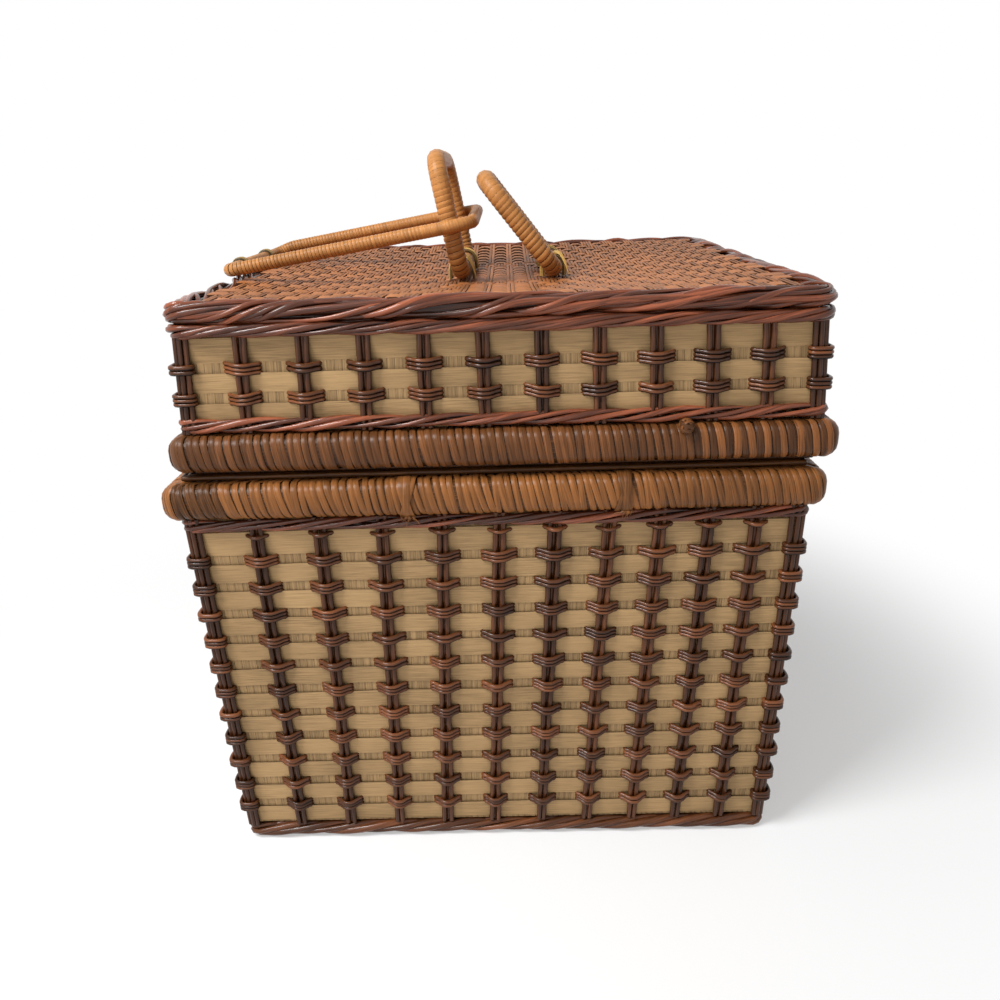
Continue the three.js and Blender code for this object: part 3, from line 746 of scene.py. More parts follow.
def corner_clasp(strands, level, height):
    """One clasp that turns round a corner and goes into both of its faces."""
    reach = CORNER_REACH * in_mm("clasp_width") * level.clasp_share(height)
    lifts, thick = clasp_canes(strands)
    proud = STAKE_STAND + in_mm("stake_cane") + thick / 2
    limit = math.pi / 4 + math.atan2(reach - CORNER_CENTRE, CORNER_CENTRE + proud)
    sweep = np.linspace(-1, 1, CORNER_STEPS)
    angle = CORNER_ANGLE + limit * sweep
    c, s = np.cos(angle), np.sin(angle)
    dive = 1 - np.abs(sweep) ** CORNER_DIVE
    size = CORNER_CENTRE - CLASP_SUNK + (proud + CLASP_SUNK) * dive
    squareness = np.abs(c) ** CORNER_SQUARE + np.abs(s) ** CORNER_SQUARE
    radius = size / squareness ** (1 / CORNER_SQUARE)
    centre = CORNER_CENTRE - level.half(height)
    for lift in lifts:
        z = np.full(len(sweep), height + lift)
        path = np.column_stack([centre + radius * c, centre + radius * s, z])
        strands.add(path, UP, round_section(thick))


def corner_canes(prefix, turn, material):
    """The canes that stand at one corner and the clasps that turn round it."""
    level = Storey(prefix)
    strands = Strands(SEEDS[f"{prefix}_corner"] + turn)
    cane = in_mm("stake_cane")
    z = level.cane_heights
    out = STAKE_STAND + cane / 2
    edge = -level.half(z)
    outer = edge - CORNER_EDGE * out
    bundle = [(outer, outer, (-1, -1, 0))]
    for inset in CORNER_CANES:
        inner = edge + inset * level.clasp_share(z)
        bundle += [(inner, edge - out, FRONT), (edge - out, inner, LEFT)]
    section = round_section(cane, CANE_SIDES)
    for x, y, facing in bundle:
        path = np.column_stack([x, y, z])
        strands.add(path, facing, section, shade=strands.near(*CORNER_SHADE))
    for height in level.clasp_heights[:-1]:
        corner_clasp(strands, level, height)
    name, node = (f"{prefix}_{part}_{CORNERS[turn]}" for part in ("corner_canes", "corner"))
    strands.piece(name, prefix, "brown_cane", material, [node], turn, level.shift)


def twist(strands, half, corner, depth, height, rods, rod, spread, turns, stray):
    """A rope of rods round a square. Depth is from the outer face in to the rope's middle, spread
    is from there to the rods' middles, inwards and up, and stray is how far they leave it."""
    share = np.arange(0, 1, ROPE_STEP / (8 * half))
    for number in range(rods):
        waves = strands.chance.integers(*ROPE_WAVES, 4)
        phase = strands.chance.random(4) * 2 * math.pi
        ripples = np.sin(2 * math.pi * waves[:, None] * share + phase[:, None])
        slip = ROPE_SLIP * stray * ripples[:2].sum(0)
        angle = 2 * math.pi * (number / rods + turns * share) + slip
        reach = 1 + stray * ripples[2:].sum(0) / 2 / max(spread)
        out = spread[0] * reach * np.cos(angle)
        up = spread[1] * reach * np.sin(angle)
        place, outward = round_square(share, half, corner, depth - out)
        path = np.column_stack([place, height + up])
        facing = np.column_stack([outward * np.cos(angle)[:, None], np.sin(angle)])
        section = round_section(rod) * (1 + ROD_SWELL * ripples[0])[:, None, None]
        shade = np.clip(strands.chance.uniform(*ROD_SHADES) + ROD_PATCH * ripples[3], 0, 1)
        strands.add(path, facing, section, closed=True, shade=shade)


def rim_braid(prefix, height, material):
    """The thin braid that ties the ends of the stakes along a rim."""
    level = Storey(prefix)
    cane = in_mm("braid_cane")
    strands = Strands(SEEDS[f"{prefix}_braid"])
    half = level.half(height) + BRAID_OUT + cane / 2
    twist(strands, half, corner=9, depth=cane / 2 + BRAID_OUT / 2, height=height, rods=4,
          rod=cane * 0.92, spread=(cane * 0.55, cane * 0.72), turns=17, stray=0.5)
    strands.piece(f"{prefix}_rim_braid", prefix, "brown_cane", material, shift=level.shift)


def lid_border(material):
    """The thick border of the lid: a wide upper rope round its core, a slim lower one, rods that
    close the gap behind it and rods that bear the panel's edge."""
    half, shift, low, high = square("lid_border")
    cane = in_mm("rope_cane")
    strands = Strands(SEEDS["lid_border"])
    upper = {"corner": BORDER_CORNER, "depth": 7.3, "height": high - 7.1}
    twist(strands, half, **upper, rods=12, rod=cane * 0.95, spread=(5.2, 4.6), turns=9, stray=1.4)
    twist(strands, half, **upper, rods=1, rod=7.5, spread=(0.4, 0.4), turns=5, stray=0)
    twist(strands, half, corner=BORDER_CORNER, depth=3.8, height=low + 2.6, rods=5,
          rod=cane * 0.92, spread=(2.2, 2.4), turns=15, stray=0.8)
    twist(strands, half, corner=BORDER_CORNER, depth=12.5, height=low + 4.5, rods=4,
          rod=cane, spread=(3.2, 2.6), turns=9, stray=0.4)
    twist(strands, half, corner=12, depth=17, height=high - 7.6, rods=5,
          rod=cane, spread=(3.6, 1.2), turns=11, stray=0.3)
    strands.piece("lid_border_rods", "lid", "brown_cane", material, ["lid_border"], shift=shift)


def base_braid(material):
    """The braid that the basket stands on: an outer rope and a slim one that backs it."""
    half, _, low, high = square("base_braid")
    cane = in_mm("base_cane")
    strands = Strands(SEEDS["base_braid"])
    middle = (high - low) / 2
    both = {"corner": BASE_CORNER, "height": middle, "rod": cane}
    both["spread"] = (BASE_SPREAD, middle - BASE_CLEAR * cane)
    twist(strands, half, **both, depth=BASE_SPREAD + cane / 2, rods=4, turns=15, stray=0.15)
    twist(strands, half, **both, depth=9.6, rods=3, turns=13, stray=0.1)
    strands.piece("base_braid_rods", "box", "brown_cane", material, ["base_braid"])


def rim_outline(height, inset, steps):
    """A rim's rounded section and its normals, in even steps of (inwards, up) from its middle
    height, down the outer face first."""
    inner, edge = RIM_THICKNESS - RIM_EDGE, height / 2 - RIM_EDGE
    corners = [
        (RIM_ROUND, height / 2 - RIM_ROUND, RIM_ROUND, 90),
        (RIM_ROUND, RIM_ROUND - height / 2, RIM_ROUND, 180),
        (inner, -edge, RIM_EDGE, 270),
        (inner, edge, RIM_EDGE, 0),
    ]
    arcs = []
    for x, z, radius, start in corners:
        angle = np.radians(np.linspace(start, start + 90, RIM_STEPS))
        reach = radius - inset
        arcs.append(np.column_stack([x + reach * np.cos(angle), z + reach * np.sin(angle)]))
    points = np.concatenate([*arcs, arcs[0][:1]])
    walk = walked(points)
    outline = between(np.linspace(0, walk[-1], steps, endpoint=False), walk, points)
    ahead = onward(outline)
    return outline, unit(np.stack([ahead[:, 1], -ahead[:, 0]], 1))


def hoop(strands, half, inwards, height, section):
    """A hoop that lies in a rim, painted darkest as painted shade where it shows in the gaps."""
    share = np.arange(0, 1, HOOP_STEP / (8 * half))
    place, outward = round_square(share, half, RIM_CORNER, inwards)
    flat = np.zeros(len(share))
    path = np.column_stack([place, flat + height])
    strands.add(path, np.column_stack([outward, flat]), section, closed=True, shade=0.0)


def wrapped_rim(prefix, grooves, slot, tone, material):
    """A rim wound with flat cane over a core, and the canes on its ledge where the two rims meet.
    The grooves are how far the wound face stops short of the rim's bottom and of its top."""
    wrap, slant = (in_mm(f"{prefix}_{name}") for name in ("wrap", "slant"))
    node = f"{prefix}_rim"
    half, shift, low, high = square(node)
    bottom, top = low + grooves[0], high - grooves[1]
    middle, height = (top + bottom) / 2, top - bottom
    strands = Strands(SEEDS[node])
    around = 8 * half
    turns = round(around / wrap)
    outline, normal = rim_outline(height, WRAP_THICKNESS, WRAP_STEPS)
    step = np.tile(np.arange(WRAP_STEPS), turns)
    number = np.repeat(np.arange(turns), WRAP_STEPS)
    (inwards, up), (in_normal, up_normal) = outline[step].T, normal[step].T
    nudge = strands.chance.normal(0, wrap * WRAP_NUDGE, turns)[number]
    lean = slant * (1 + strands.chance.normal(0, WRAP_LEAN, turns))[number]
    lift = strands.chance.uniform(*WRAP_LIFT, turns)[number]
    travel = (number + step / WRAP_STEPS) * around / turns + nudge - lean * up / height
    place, outward = round_square(travel / around, half, RIM_CORNER, inwards - lift * in_normal)
    path = np.column_stack([place, middle + up + lift * up_normal])
    facing = np.column_stack([-outward * in_normal[:, None], up_normal])
    shade = tone(strands.chance, np.arange(turns) * around / turns)[number]
    breadth = strands.chance.uniform(*WRAP_WIDTHS, turns)[number]
    scale = np.stack([np.ones_like(breadth), breadth], 1)[:, None]
    section = splint_section(wrap, WRAP_CANE, WRAP_CROWN) * scale
    strands.add(path, facing, section, closed=True, shade=shade)
    core, _ = rim_outline(height, WRAP_THICKNESS + CORE_DEPTH, CORE_STEPS)
    section = np.stack([RIM_THICKNESS / 2 - core[:, 0], core[:, 1]], 1)[::-1]
    # The core is painted darkest: painted shade where it shows between the turns
    hoop(strands, half, RIM_THICKNESS / 2, middle, section)
    # The ledge canes are painted darkest: painted shade in the gap between the rims
    ledge = low + grooves[0] / 2 if grooves[0] else high - grooves[1] / 2
    for depth in LEDGE_CANES:
        hoop(strands, half, depth, ledge, round_section(max(grooves)))
    strands.piece(f"{node}_wrapping", prefix, slot, material, [node], shift=shift)


def is_within(travel, stretch):
    """True for the places that lie within a stretch of the way round a rim."""
    return (travel > stretch[0]) & (travel < stretch[1])


def lid_rim_tone(chance, travel):
    """Shades of the lid rim's wrapping: golden and dark stripes at the right of the front."""
    plain = chance.uniform(*LID_RIM_SHADES, len(travel))
    striped = np.where(np.arange(len(travel)) % 2, *LID_STRIPE_SHADES)
    return np.where(is_within(travel, LID_STRIPES), striped, plain)


def box_rim_tone(chance, travel):
    """Shades of the box rim's wrapping, which is darker at the ends of the front: at the right end
    as painted shade.
    """
    plain = chance.uniform(*BOX_RIM_SHADES, len(travel))
    dark = np.where(is_within(travel, BOX_SHADED_RIGHT), plain - BOX_PAINTED_SHADE, plain)
    return np.where(travel < BOX_DARK_LEFT, BOX_DARKEST, dark)


def panel_weave(warp, weft):
    """True where a broad weft of the lid's panel lies over a warp, both counted from the panel's
    middle. Three ladders of wefts stand there between upright warps; beside them the twill steps
    outwards."""
    side = np.floor(np.abs(warp))
    is_ladder = (side == 0) | (side == 2) | (side == 3)
    turned = np.asarray(weft) % 8 == 4
    return np.where(side < 5, is_ladder != turned, (side + weft) % 4 < 2)


def lid_panel(material):
    """The lid's chevron panel: pairs of narrow warps from front to back, over two broad wefts and
    under two, mirrored at the middle."""
    half, shift, low, high = square("lid_panel")
    sag = high - low - PANEL_THICKNESS
    strands = Strands(SEEDS["lid_panel"])

    def lay(x, y, over, section, shade):
        """Lays a splint on the sagging surface, up where it is over others and down elsewhere."""
        x, y = np.broadcast_arrays(x, y)
        inside = (1 - np.clip(x / half, -1, 1) ** 2) * (1 - np.clip(y / half, -1, 1) ** 2)
        rise = PANEL_RISE * np.pad(np.where(over, 1, -1), 1, mode="edge")
        path = np.column_stack([x, y, high - sag * inside - PANEL_DOWN + rise])
        strands.add(path, UP, section, shade=shade)

    warp_pairs = round(half / in_mm("panel_warp"))
    warps = np.arange(-warp_pairs, warp_pairs) + 0.5
    warp_pitch = half / warp_pairs
    weft_pairs = int(half / in_mm("panel_weft"))
    wefts = np.arange(-weft_pairs, weft_pairs + 1)
    weft_pitch = 2 * half / len(wefts)
    reach = half + PANEL_OVERLAP
    section = splint_section(weft_pitch - PANEL_GAP, PANEL_SPLINT, WEFT_CROWN)
    x = np.concatenate([[-reach], warps * warp_pitch, [reach]])
    for weft in wefts:
        over = panel_weave(warps, weft)
        lay(x, weft * weft_pitch, over, section, strands.near(*WEFT_PAINTED_LIGHT))
    section = splint_section(warp_pitch / 2 - PANEL_SLIT, PANEL_SPLINT, WARP_CROWN, 3)
    bends = (wefts[:, None] + WARP_BENDS).ravel() * weft_pitch
    y = np.concatenate([[-reach], bends, [reach]])
    for warp in warps:
        over = np.repeat(~panel_weave(warp, wefts), len(WARP_BENDS))
        for place in WARP_PAIR:
            lay((warp + place) * warp_pitch, y, over, section, strands.near(*WARP_PAINTED_SHADE))
    name = "lid_panel_splints"
    strands.piece(name, "lid", "chevron_splint", material, ["lid_panel"], shift=shift)


def base_panel(material):
    """The flat bottom: broad splints woven over one and under one."""
    half, _, low, high = square("base_panel")
    middle = (high + low) / 2
    cells = 2 * int(half / in_mm("base_splint")) + 1
    places = (np.arange(cells) - cells // 2) * 2 * half / cells
    strands = Strands(SEEDS["base_panel"])
    reach = np.concatenate([[-half - BASE_OVERLAP], places, [half + BASE_OVERLAP]])
    section = splint_section(2 * half / cells - BASE_GAP, BASE_SPLINT, BASE_CROWN, 3)
    for number, place in enumerate(places):
        rise = BASE_RISE * np.where((np.arange(cells + 2) + number) % 2, 1, -1)
        across = np.full(len(reach), place)
        for x, y, z in ((reach, across, middle + rise), (across, reach, middle - rise)):
            path = np.column_stack([x, y, z])
            strands.add(path, UP, section, shade=strands.near(*BASE_SHADE))
    strands.piece("base_splints", "box", "pale_splint", material, ["base_panel"])


def rounded_loop(corners, rounds, step):
    """A closed line through corners that are each rounded off over their own length, in even steps,
    and how long it is."""
    corners = np.asarray(corners, float)
    bend = np.linspace(0, 1, ARC_STEPS)[:, None]
    arcs = []
    for i, corner in enumerate(corners):
        before = corner + unit(corners[i - 1] - corner) * rounds[i]
        after = corner + unit(corners[(i + 1) % len(corners)] - corner) * rounds[i]
        arcs.append((1 - bend) ** 2 * before + 2 * bend * (1 - bend) * corner + bend**2 * after)
    points = np.concatenate([*arcs, arcs[0][:1]])
    walk = walked(points)
    even = np.linspace(0, walk[-1], round(walk[-1] / step), endpoint=False)
    return between(even, walk, points), walk[-1]


def bind(strands, path, around, normal, diameter, wrap, crowns):
    """A rod along a closed path, bound with flat cane that is spread wider outside the bends. The
    crowns are how round the cane's face is at the rod's lowest and at its highest point."""
    # The rod is painted darkest: painted shade between the turns of its binding
    strands.add(path, normal, round_section(diameter - 2 * BINDING, 10), closed=True, shade=0.0)
    turns = round(around / wrap)
    share = np.arange(turns * BIND_STEPS) / (turns * BIND_STEPS)
    places = np.arange(len(path) + 1) / len(path)
    tangent = unit(onward(path))
    at = between(share, places, np.concatenate([path, path[:1]]))
    ahead = unit(between(share, places, np.concatenate([tangent, tangent[:1]])))
    first = square_to(ahead, normal)
    second = np.cross(ahead, first)
    angle = 2 * math.pi * share * turns
    facing = np.cos(angle)[:, None] * first + np.sin(angle)[:, None] * second
    tone = np.repeat(strands.chance.uniform(*BIND_SHADES, turns), BIND_STEPS)
    crown = np.interp(at[:, 2], (path[:, 2].min(), path[:, 2].max()), crowns)
    ribbon = at + facing * (diameter / 2 - crown)[:, None]
    foot, head = (
        splint_section(wrap * width, BINDING, size, 3) for width, size in zip(BIND_WIDTHS, crowns)
    )
    rise = (crown - crowns[0]) / (crowns[1] - crowns[0])
    section = foot + (head - foot) * rise[:, None, None]
    pitch = np.linalg.norm(onward(ribbon, BIND_STEPS), axis=1) / 2
    section[..., 1] *= (pitch / wrap)[:, None]
    # Painted shade: darker towards the handle's foot
    shade = tone * (BIND_FOOT_PAINTED_SHADE + (1 - BIND_FOOT_PAINTED_SHADE) * rise)
    strands.add(ribbon, facing, section, closed=True, shade=shade)


def ring_handle(name, material):
    """One ring handle, bound with cane."""
    lean = getattr(bpy.context.scene.basket_canes, f"{name}_lean")
    low, high = extent(name)
    side = (high[1] - low[1] - RING_ROD) / 2
    axis = joint_place(f"{name}_swing")
    up = np.array([math.sin(lean), 0, math.cos(lean)])
    across = np.array([0, 1, 0])
    turns = ((-1, 0), (1, 0), (1, RING_RISE), (-1, RING_RISE))
    corners = [axis + across * y * side + up * z for y, z in turns]
    path, around = rounded_loop(corners, [RING_CORNER] * len(corners), HANDLE_STEP)
    strands = Strands(SEEDS[name])
    normal = np.cross(across, up)
    bind(strands, path, around, normal, RING_ROD, in_mm("ring_wrap"), RING_CROWNS[name])
    strands.piece(f"{name}_binding", name, "honey_wrap", material, [name])


def closing_loop(material):
    """The closing loop, bound with cane."""
    _, high = extent("closing_loop")
    foot = joint_place("closing_loop_swing")
    side = high[1] - LOOP_ROD / 2
    end = (high[0] - LOOP_ROD / 2, high[2] - LOOP_ROD / 2)
    half = [(foot[0], foot[2]), (foot[0] + LOOP_KNEE[0], foot[2] + LOOP_KNEE[1]), end]
    front = [(x, -side, z - LOOP_TWIST * (x > foot[0])) for x, z in half]
    rear = [(x, side, z + LOOP_TWIST * (x > foot[0])) for x, z in half]
    leg = math.hypot(*LOOP_KNEE)
    rounds = [*(share * leg for share in LOOP_ROUNDS), LOOP_CORNER]
    path, around = rounded_loop(front + rear[::-1], rounds + rounds[::-1], HANDLE_STEP)
    strands = Strands(SEEDS["closing_loop"])
    bind(strands, path, around, UP, LOOP_ROD, in_mm("loop_wrap"), LOOP_CROWNS)
    strands.piece("closing_loop_binding", "closing_loop", "honey_wrap", material, ["closing_loop"])


def bar_tie(handle, end, material):
    """Split cane bent over a handle's bar in three turns, up to some slack, with a loose end at the
    front of a ring."""
    node = f"{handle}_tie_{end}"
    low, high = extent(node)
    middle = (low + high) / 2
    radius = (high[0] - low[0]) / 2
    width = in_mm("tie_width")
    centre = high[2] - radius
    strands = Strands(SEEDS[f"{handle}_tie"] + ENDS.index(end))
    bend = np.linspace(0, math.pi, ARC_STEPS)
    section = splint_section(width, TIE_THICKNESS, TIE_CROWN, 3)
    for turn in (-1, 0, 1):
        reach = radius - TIE_SUNK + strands.chance.uniform(0, TIE_SLACK[handle])
        skew = strands.chance.normal(0, TIE_SKEW)
        y = middle[1] + turn * width * TIE_PITCH + skew * np.cos(bend)
        x, z = middle[0] + reach * np.cos(bend), centre + reach * np.sin(bend)
        path = np.column_stack([x, y, z])
        feet = path[[0, -1]] * (1, 1, 0) + (0, 0, low[2])
        path = np.concatenate([feet[:1], path, feet[1:]])
        outward = path * (1, 0, 1) - (middle[0], 0, centre)
        strands.add(path, outward, section, shade=strands.near(*TIE_SHADES[handle]))
    if end == "front" and handle != "closing_loop":
        left = middle[0] - radius * TAIL_ROOT
        start = np.array([left, middle[1] - width, centre + radius])
        path = smooth(start + np.array(TAIL))
        section = pointed(splint_section(*TAIL_SECTION, 3), len(path), TAIL_POINT)
        strands.add(path, TAIL_FACING, section, shade=TAIL_SHADE)
    strands.piece(f"{node}_cane", "lid", "tie_cane", material, [node])


def hinge_tie(body, end, material):
    """One half of a hinge: split cane that runs up a rim's face and turns round the hinge line."""
    node = f"{body}_hinge_tie_{end}"
    low, high = extent(node)
    hinge = joint_place("lid_hinge")
    towards = 1 if body == "lid" else -1
    reach = high[2] - hinge[2] if body == "lid" else hinge[2] - low[2]
    face = low[0] + HINGE_SUNK
    turn = np.radians(np.linspace(*HINGE_BEND, HINGE_STEPS))
    knuckle = HINGE_KNUCKLE / 2 - HINGE_SUNK
    ring = np.column_stack([hinge[0] + knuckle * np.cos(turn), towards * knuckle * np.sin(turn)])
    straight = [(face, towards * reach), (face, towards * reach * HINGE_FLAT)]
    profile = np.concatenate([straight, ring])
    strands = Strands(SEEDS[f"{body}_hinge_tie"] + ENDS.index(end))
    width = (high[1] - low[1]) / HINGE_CANES
    section = splint_section(width * HINGE_FILL, *HINGE_CANE, 3)
    for number in range(HINGE_CANES):
        y = np.full(len(profile), low[1] + (number + 0.5) * width)
        path = np.column_stack([profile[:, 0], y, hinge[2] + profile[:, 1]])
        outward = np.cross(np.gradient(path, axis=0), (0, -towards, 0))
        strands.add(path, outward, section, shade=strands.near(*HINGE_SHADE))
    strands.piece(f"{node}_cane", body, "tie_cane", material, [node])


def rim_tie(number, material):
    """Where a new length of wrapping starts: crossed strips on the rim, frayed ends below it."""
    node = f"box_rim_tie_{('left', 'right')[number]}"
    low, high = extent(node)
    middle = (low[0] + high[0]) / 2
    rim_low, rim_high = extent("box_rim")
    height = rim_high[2] - rim_low[2] - BOX_GROOVE
    outline, normal = rim_outline(height, 0, STRIP_STEPS)
    front = outline[:, 0] < RIM_ROUND + 1
    order = np.argsort(-outline[front, 1], kind="stable")
    (y, z), flat = outline[front][order].T, np.zeros(front.sum())
    facing = np.column_stack([flat, normal[front][order]])
    strands = Strands(SEEDS["box_rim_tie"] + number)
    for lean, lift in STRIPS:
        across = lean * z + strands.chance.normal(0, STRIP_STRAY)
        path = np.column_stack([flat, rim_low[1] + y, z]) + facing * lift
        path += np.column_stack([across, flat, flat])
        path += (middle, 0, rim_low[2] + height / 2)
        section = splint_section(*STRIP_SECTION)
        strands.add(path, facing, section, shade=strands.near(*STRIP_SHADE))
    for _ in range(FRAYS):
        x = middle + strands.chance.normal(0, FRAY_STRAY)
        start = np.array([x, *(rim_low[1:] + FRAY_ROOT)])
        fall = strands.chance.normal(*FRAY_FALL)
        path = smooth([start, start + FRAY_OUT, start + fall * FRAY_BEND, start + fall], 1)
        section = pointed(round_section(FRAY_CANE, 5), len(path), FRAY_POINT)
        strands.add(path, FRONT, section, shade=strands.near(*FRAY_SHADE))
    strands.piece(f"{node}_strips", "box", "golden_wrap", material, [node])


def rim_knot(material):
    """The ball knot: a strip of cane wound over itself three ways."""
    low, high = extent("lid_rim_knot")
    middle = (low + high) / 2
    radius = (high[0] - low[0]) / 2
    strands = Strands(SEEDS["lid_rim_knot"])
    turn = np.arange(KNOT_STEPS) * 2 * math.pi / KNOT_STEPS
    for pole, lift in KNOT_TURNS:
        pole = unit(np.array(pole))
        first = unit(np.cross(pole, KNOT_START))
        second = np.cross(pole, first)
        outward = np.cos(turn)[:, None] * first + np.sin(turn)[:, None] * second
        for row in (-1, 1):
            path = middle + outward * (radius - KNOT_SUNK + lift) + pole * row * KNOT_PITCH
            section = round_section(KNOT_CANE, 6)
            strands.add(path, outward, section, closed=True, shade=strands.near(*KNOT_SHADE))
    strands.piece("lid_rim_knot_cane", "lid", "russet_wrap", material, ["lid_rim_knot"])


def add(tree, kind, inputs=None, **settings):
    """Adds a node with its settings, and sets or links its inputs."""
    node = tree.nodes.new(kind)
    for name, value in settings.items():
        setattr(node, name, value)
    for name, value in (inputs or {}).items():
        if isinstance(value, bpy.types.NodeSocket):
            tree.links.new(value, node.inputs[name])
        else:
            node.inputs[name].default_value = value
    return node


def cane_material(name, hue, dark, light, fibre, relief, roughness, varnish):
    """Split or round cane: streaks of fibre along each strand, a shade of its own for each, stain
    that has worn in places, and darker marked faces: stain and painted shade at the cut edges
    and ends, painted shade on the hidden side of round canes. Dark and light scale the colour,
    fibre is the width of a streak in millimetres, and varnish is the share of the mirrored light
    that the finish keeps, since raw splint scatters most of it."""
    material = bpy.data.materials.get(name)
    if material:
        return material
    base = getattr(bpy.context.scene.basket_colours, hue)
    material = bpy.data.materials.new(name)
    material.use_nodes = True
    tree = material.node_tree
    shader = tree.nodes["Principled BSDF"]
    shader.inputs["Specular IOR Level"].default_value = varnish
    grain, shade, cut = (
        add(tree, "ShaderNodeAttribute", attribute_name=key) for key in ("grain", "shade", "edge")
    )
    stretch = (1 / (FIBRE_LENGTH * MM), 1 / (fibre * MM), 1 / (fibre * MM))
    along = add(
        tree, "ShaderNodeVectorMath", {0: grain.outputs["Vector"], 1: stretch}, operation="MULTIPLY"
    )
    streak = add(
        tree, "ShaderNodeTexNoise",
        {"Vector": along.outputs[0], "Scale": 1, "Detail": 4, "Roughness": 0.6},
    )
    tone = add(
        tree, "ShaderNodeMath",
        {0: shade.outputs["Fac"], 1: SHADE_WEIGHT, 2: -SHADE_WEIGHT / 2}, operation="MULTIPLY_ADD",
    )
    mixed = add(
        tree, "ShaderNodeMath", {0: streak.outputs["Fac"], 1: tone.outputs[0]},
        operation="ADD", use_clamp=True,
    )
    colours = add(tree, "ShaderNodeValToRGB", {"Fac": mixed.outputs[0]})
    stops = colours.color_ramp.elements
    stops.new(RAMP[1])
    for stop, place, factor in zip(stops, RAMP, (dark, 1, light)):
        stop.position = place
        stop.color = [min(1, c * factor) for c in base] + [1]
    place = add(tree, "ShaderNodeTexCoord")
    blotch = add(
        tree, "ShaderNodeTexNoise",
        {"Vector": place.outputs["Object"], "Scale": 1 / (BLOTCH * MM), "Detail": 3},
    )
    wear = add(
        tree, "ShaderNodeMapRange",
        {"Value": blotch.outputs["Fac"], "From Min": 0.3, "From Max": 0.7,
         "To Min": 0.84, "To Max": 1.1},
    )
    # Darkens the marked faces: stain and painted shade at cut edges and ends, painted shade on the
    # hidden side of round canes
    stain_and_shade = add(
        tree, "ShaderNodeMapRange", {"Value": cut.outputs["Fac"], "To Min": 1, "To Max": EDGE_STAIN_AND_SHADE}
    )
    wear_and_shade = add(
        tree, "ShaderNodeMath", {0: wear.outputs[0], 1: stain_and_shade.outputs[0]}, operation="MULTIPLY"
    )
    worn_and_shaded = add(
        tree, "ShaderNodeVectorMath", {0: colours.outputs["Color"], "Scale": wear_and_shade.outputs[0]},
        operation="SCALE",
    )
    sleek, rough = (roughness + varies for varies in GLOSS_VARIES)
    gloss = add(
        tree, "ShaderNodeMapRange",
        {"Value": streak.outputs["Fac"], "To Min": sleek, "To Max": rough},
    )
    bump = add(
        tree, "ShaderNodeBump",
        {"Height": streak.outputs["Fac"], "Strength": relief, "Distance": FIBRE_DEPTH * MM},
    )
    for node, socket in ((worn_and_shaded, "Base Color"), (gloss, "Roughness"), (bump, "Normal")):
        tree.links.new(node.outputs[0], shader.inputs[socket])
    return material


def shaved_splint():
    """Shaved splint, satin: pale and nearly matt, with long fibres that read as fine lines."""
    return cane_material("shaved_splint_satin", "splint", dark=0.5, light=1.3, fibre=0.7,
                         relief=0.35, roughness=0.6, varnish=0.15)


def stained_cane():
    """Round cane, stained and varnished: dark brown with soft highlights along each cane."""
    return cane_material("stained_round_cane", "cane", dark=0.35, light=2.4, fibre=1.0,
                         relief=0.15, roughness=0.22, varnish=0.27)


def rope_cane():
    """Stained willow rods, varnished: redder than the stakes, with bright highlights."""
    return cane_material("varnished_willow_rod", "rope", dark=0.2, light=3.0, fibre=1.1,
                         relief=0.2, roughness=0.2, varnish=0.36)


def russet_wrap():
    """Flat cane, stained russet: a dull brown face whose rounded top catches the light."""
    return cane_material("russet_flat_cane", "lid_rim", dark=0.25, light=2.4, fibre=0.6,
                         relief=0.4, roughness=0.34, varnish=0.2)


def golden_wrap():
    """Flat cane, varnished golden: warmer than the lid's rim, with dark lines between the turns,
    where painted shade darkens their cut edges.
    """
    return cane_material("golden_flat_cane", "box_rim", dark=0.25, light=1.8, fibre=0.6,
                         relief=0.4, roughness=0.34, varnish=0.2)


def honey_wrap():
    """Fine flat cane, varnished: an even honey brown, smooth to the hand."""
    return cane_material("honey_binding_cane", "handle", dark=0.55, light=1.3, fibre=1.2,
                         relief=0.2, roughness=0.4, varnish=0.2)


def chevron_splint():
    """Stained flat splint, satin: warm tan over dark gaps."""
    return cane_material("stained_flat_splint", "panel", dark=0.4, light=1.6, fibre=0.9,
                         relief=0.3, roughness=0.5, varnish=0.15)


def split_cane():
    """Raw split cane: straw yellow, with the shiny skin outside."""
    return cane_material("raw_split_cane", "tie", dark=0.4, light=1.35, fibre=0.8,
                         relief=0.25, roughness=0.4, varnish=0.25)


class BASKET_OT_walls(bpy.types.Operator):
    """Weave the pale splint walls of the box and the lid"""

    bl_idname = "basket.walls"
    bl_label = "Splint Walls"

    def execute(self, context):
        for prefix in STOREYS:
            for turn in range(len(SIDES)):
                weave_wall(prefix, turn, shaved_splint())
        return {"FINISHED"}


class BASKET_OT_stakes(bpy.types.Operator):
    """Set the brown stakes, their clasps and the corner canes"""

    bl_idname = "basket.stakes"
    bl_label = "Stakes and Clasps"

    def execute(self, context):
        for prefix in STOREYS:
            for turn in range(len(SIDES)):
                cane_stakes(prefix, turn, stained_cane())
                corner_canes(prefix, turn, stained_cane())
        return {"FINISHED"}


class BASKET_OT_ropes(bpy.types.Operator):
    """Twist the lid's border, the thin braids along the rims and the base braid"""

    bl_idname = "basket.ropes"
    bl_label = "Border and Braids"

    def execute(self, context):
        lid_border(rope_cane())
        rim_braid("box", Storey("box").high - BRAID_DROP, rope_cane())
        rim_braid("lid", Storey("lid").low + BRAID_DROP, rope_cane())
        base_braid(stained_cane())
        return {"FINISHED"}


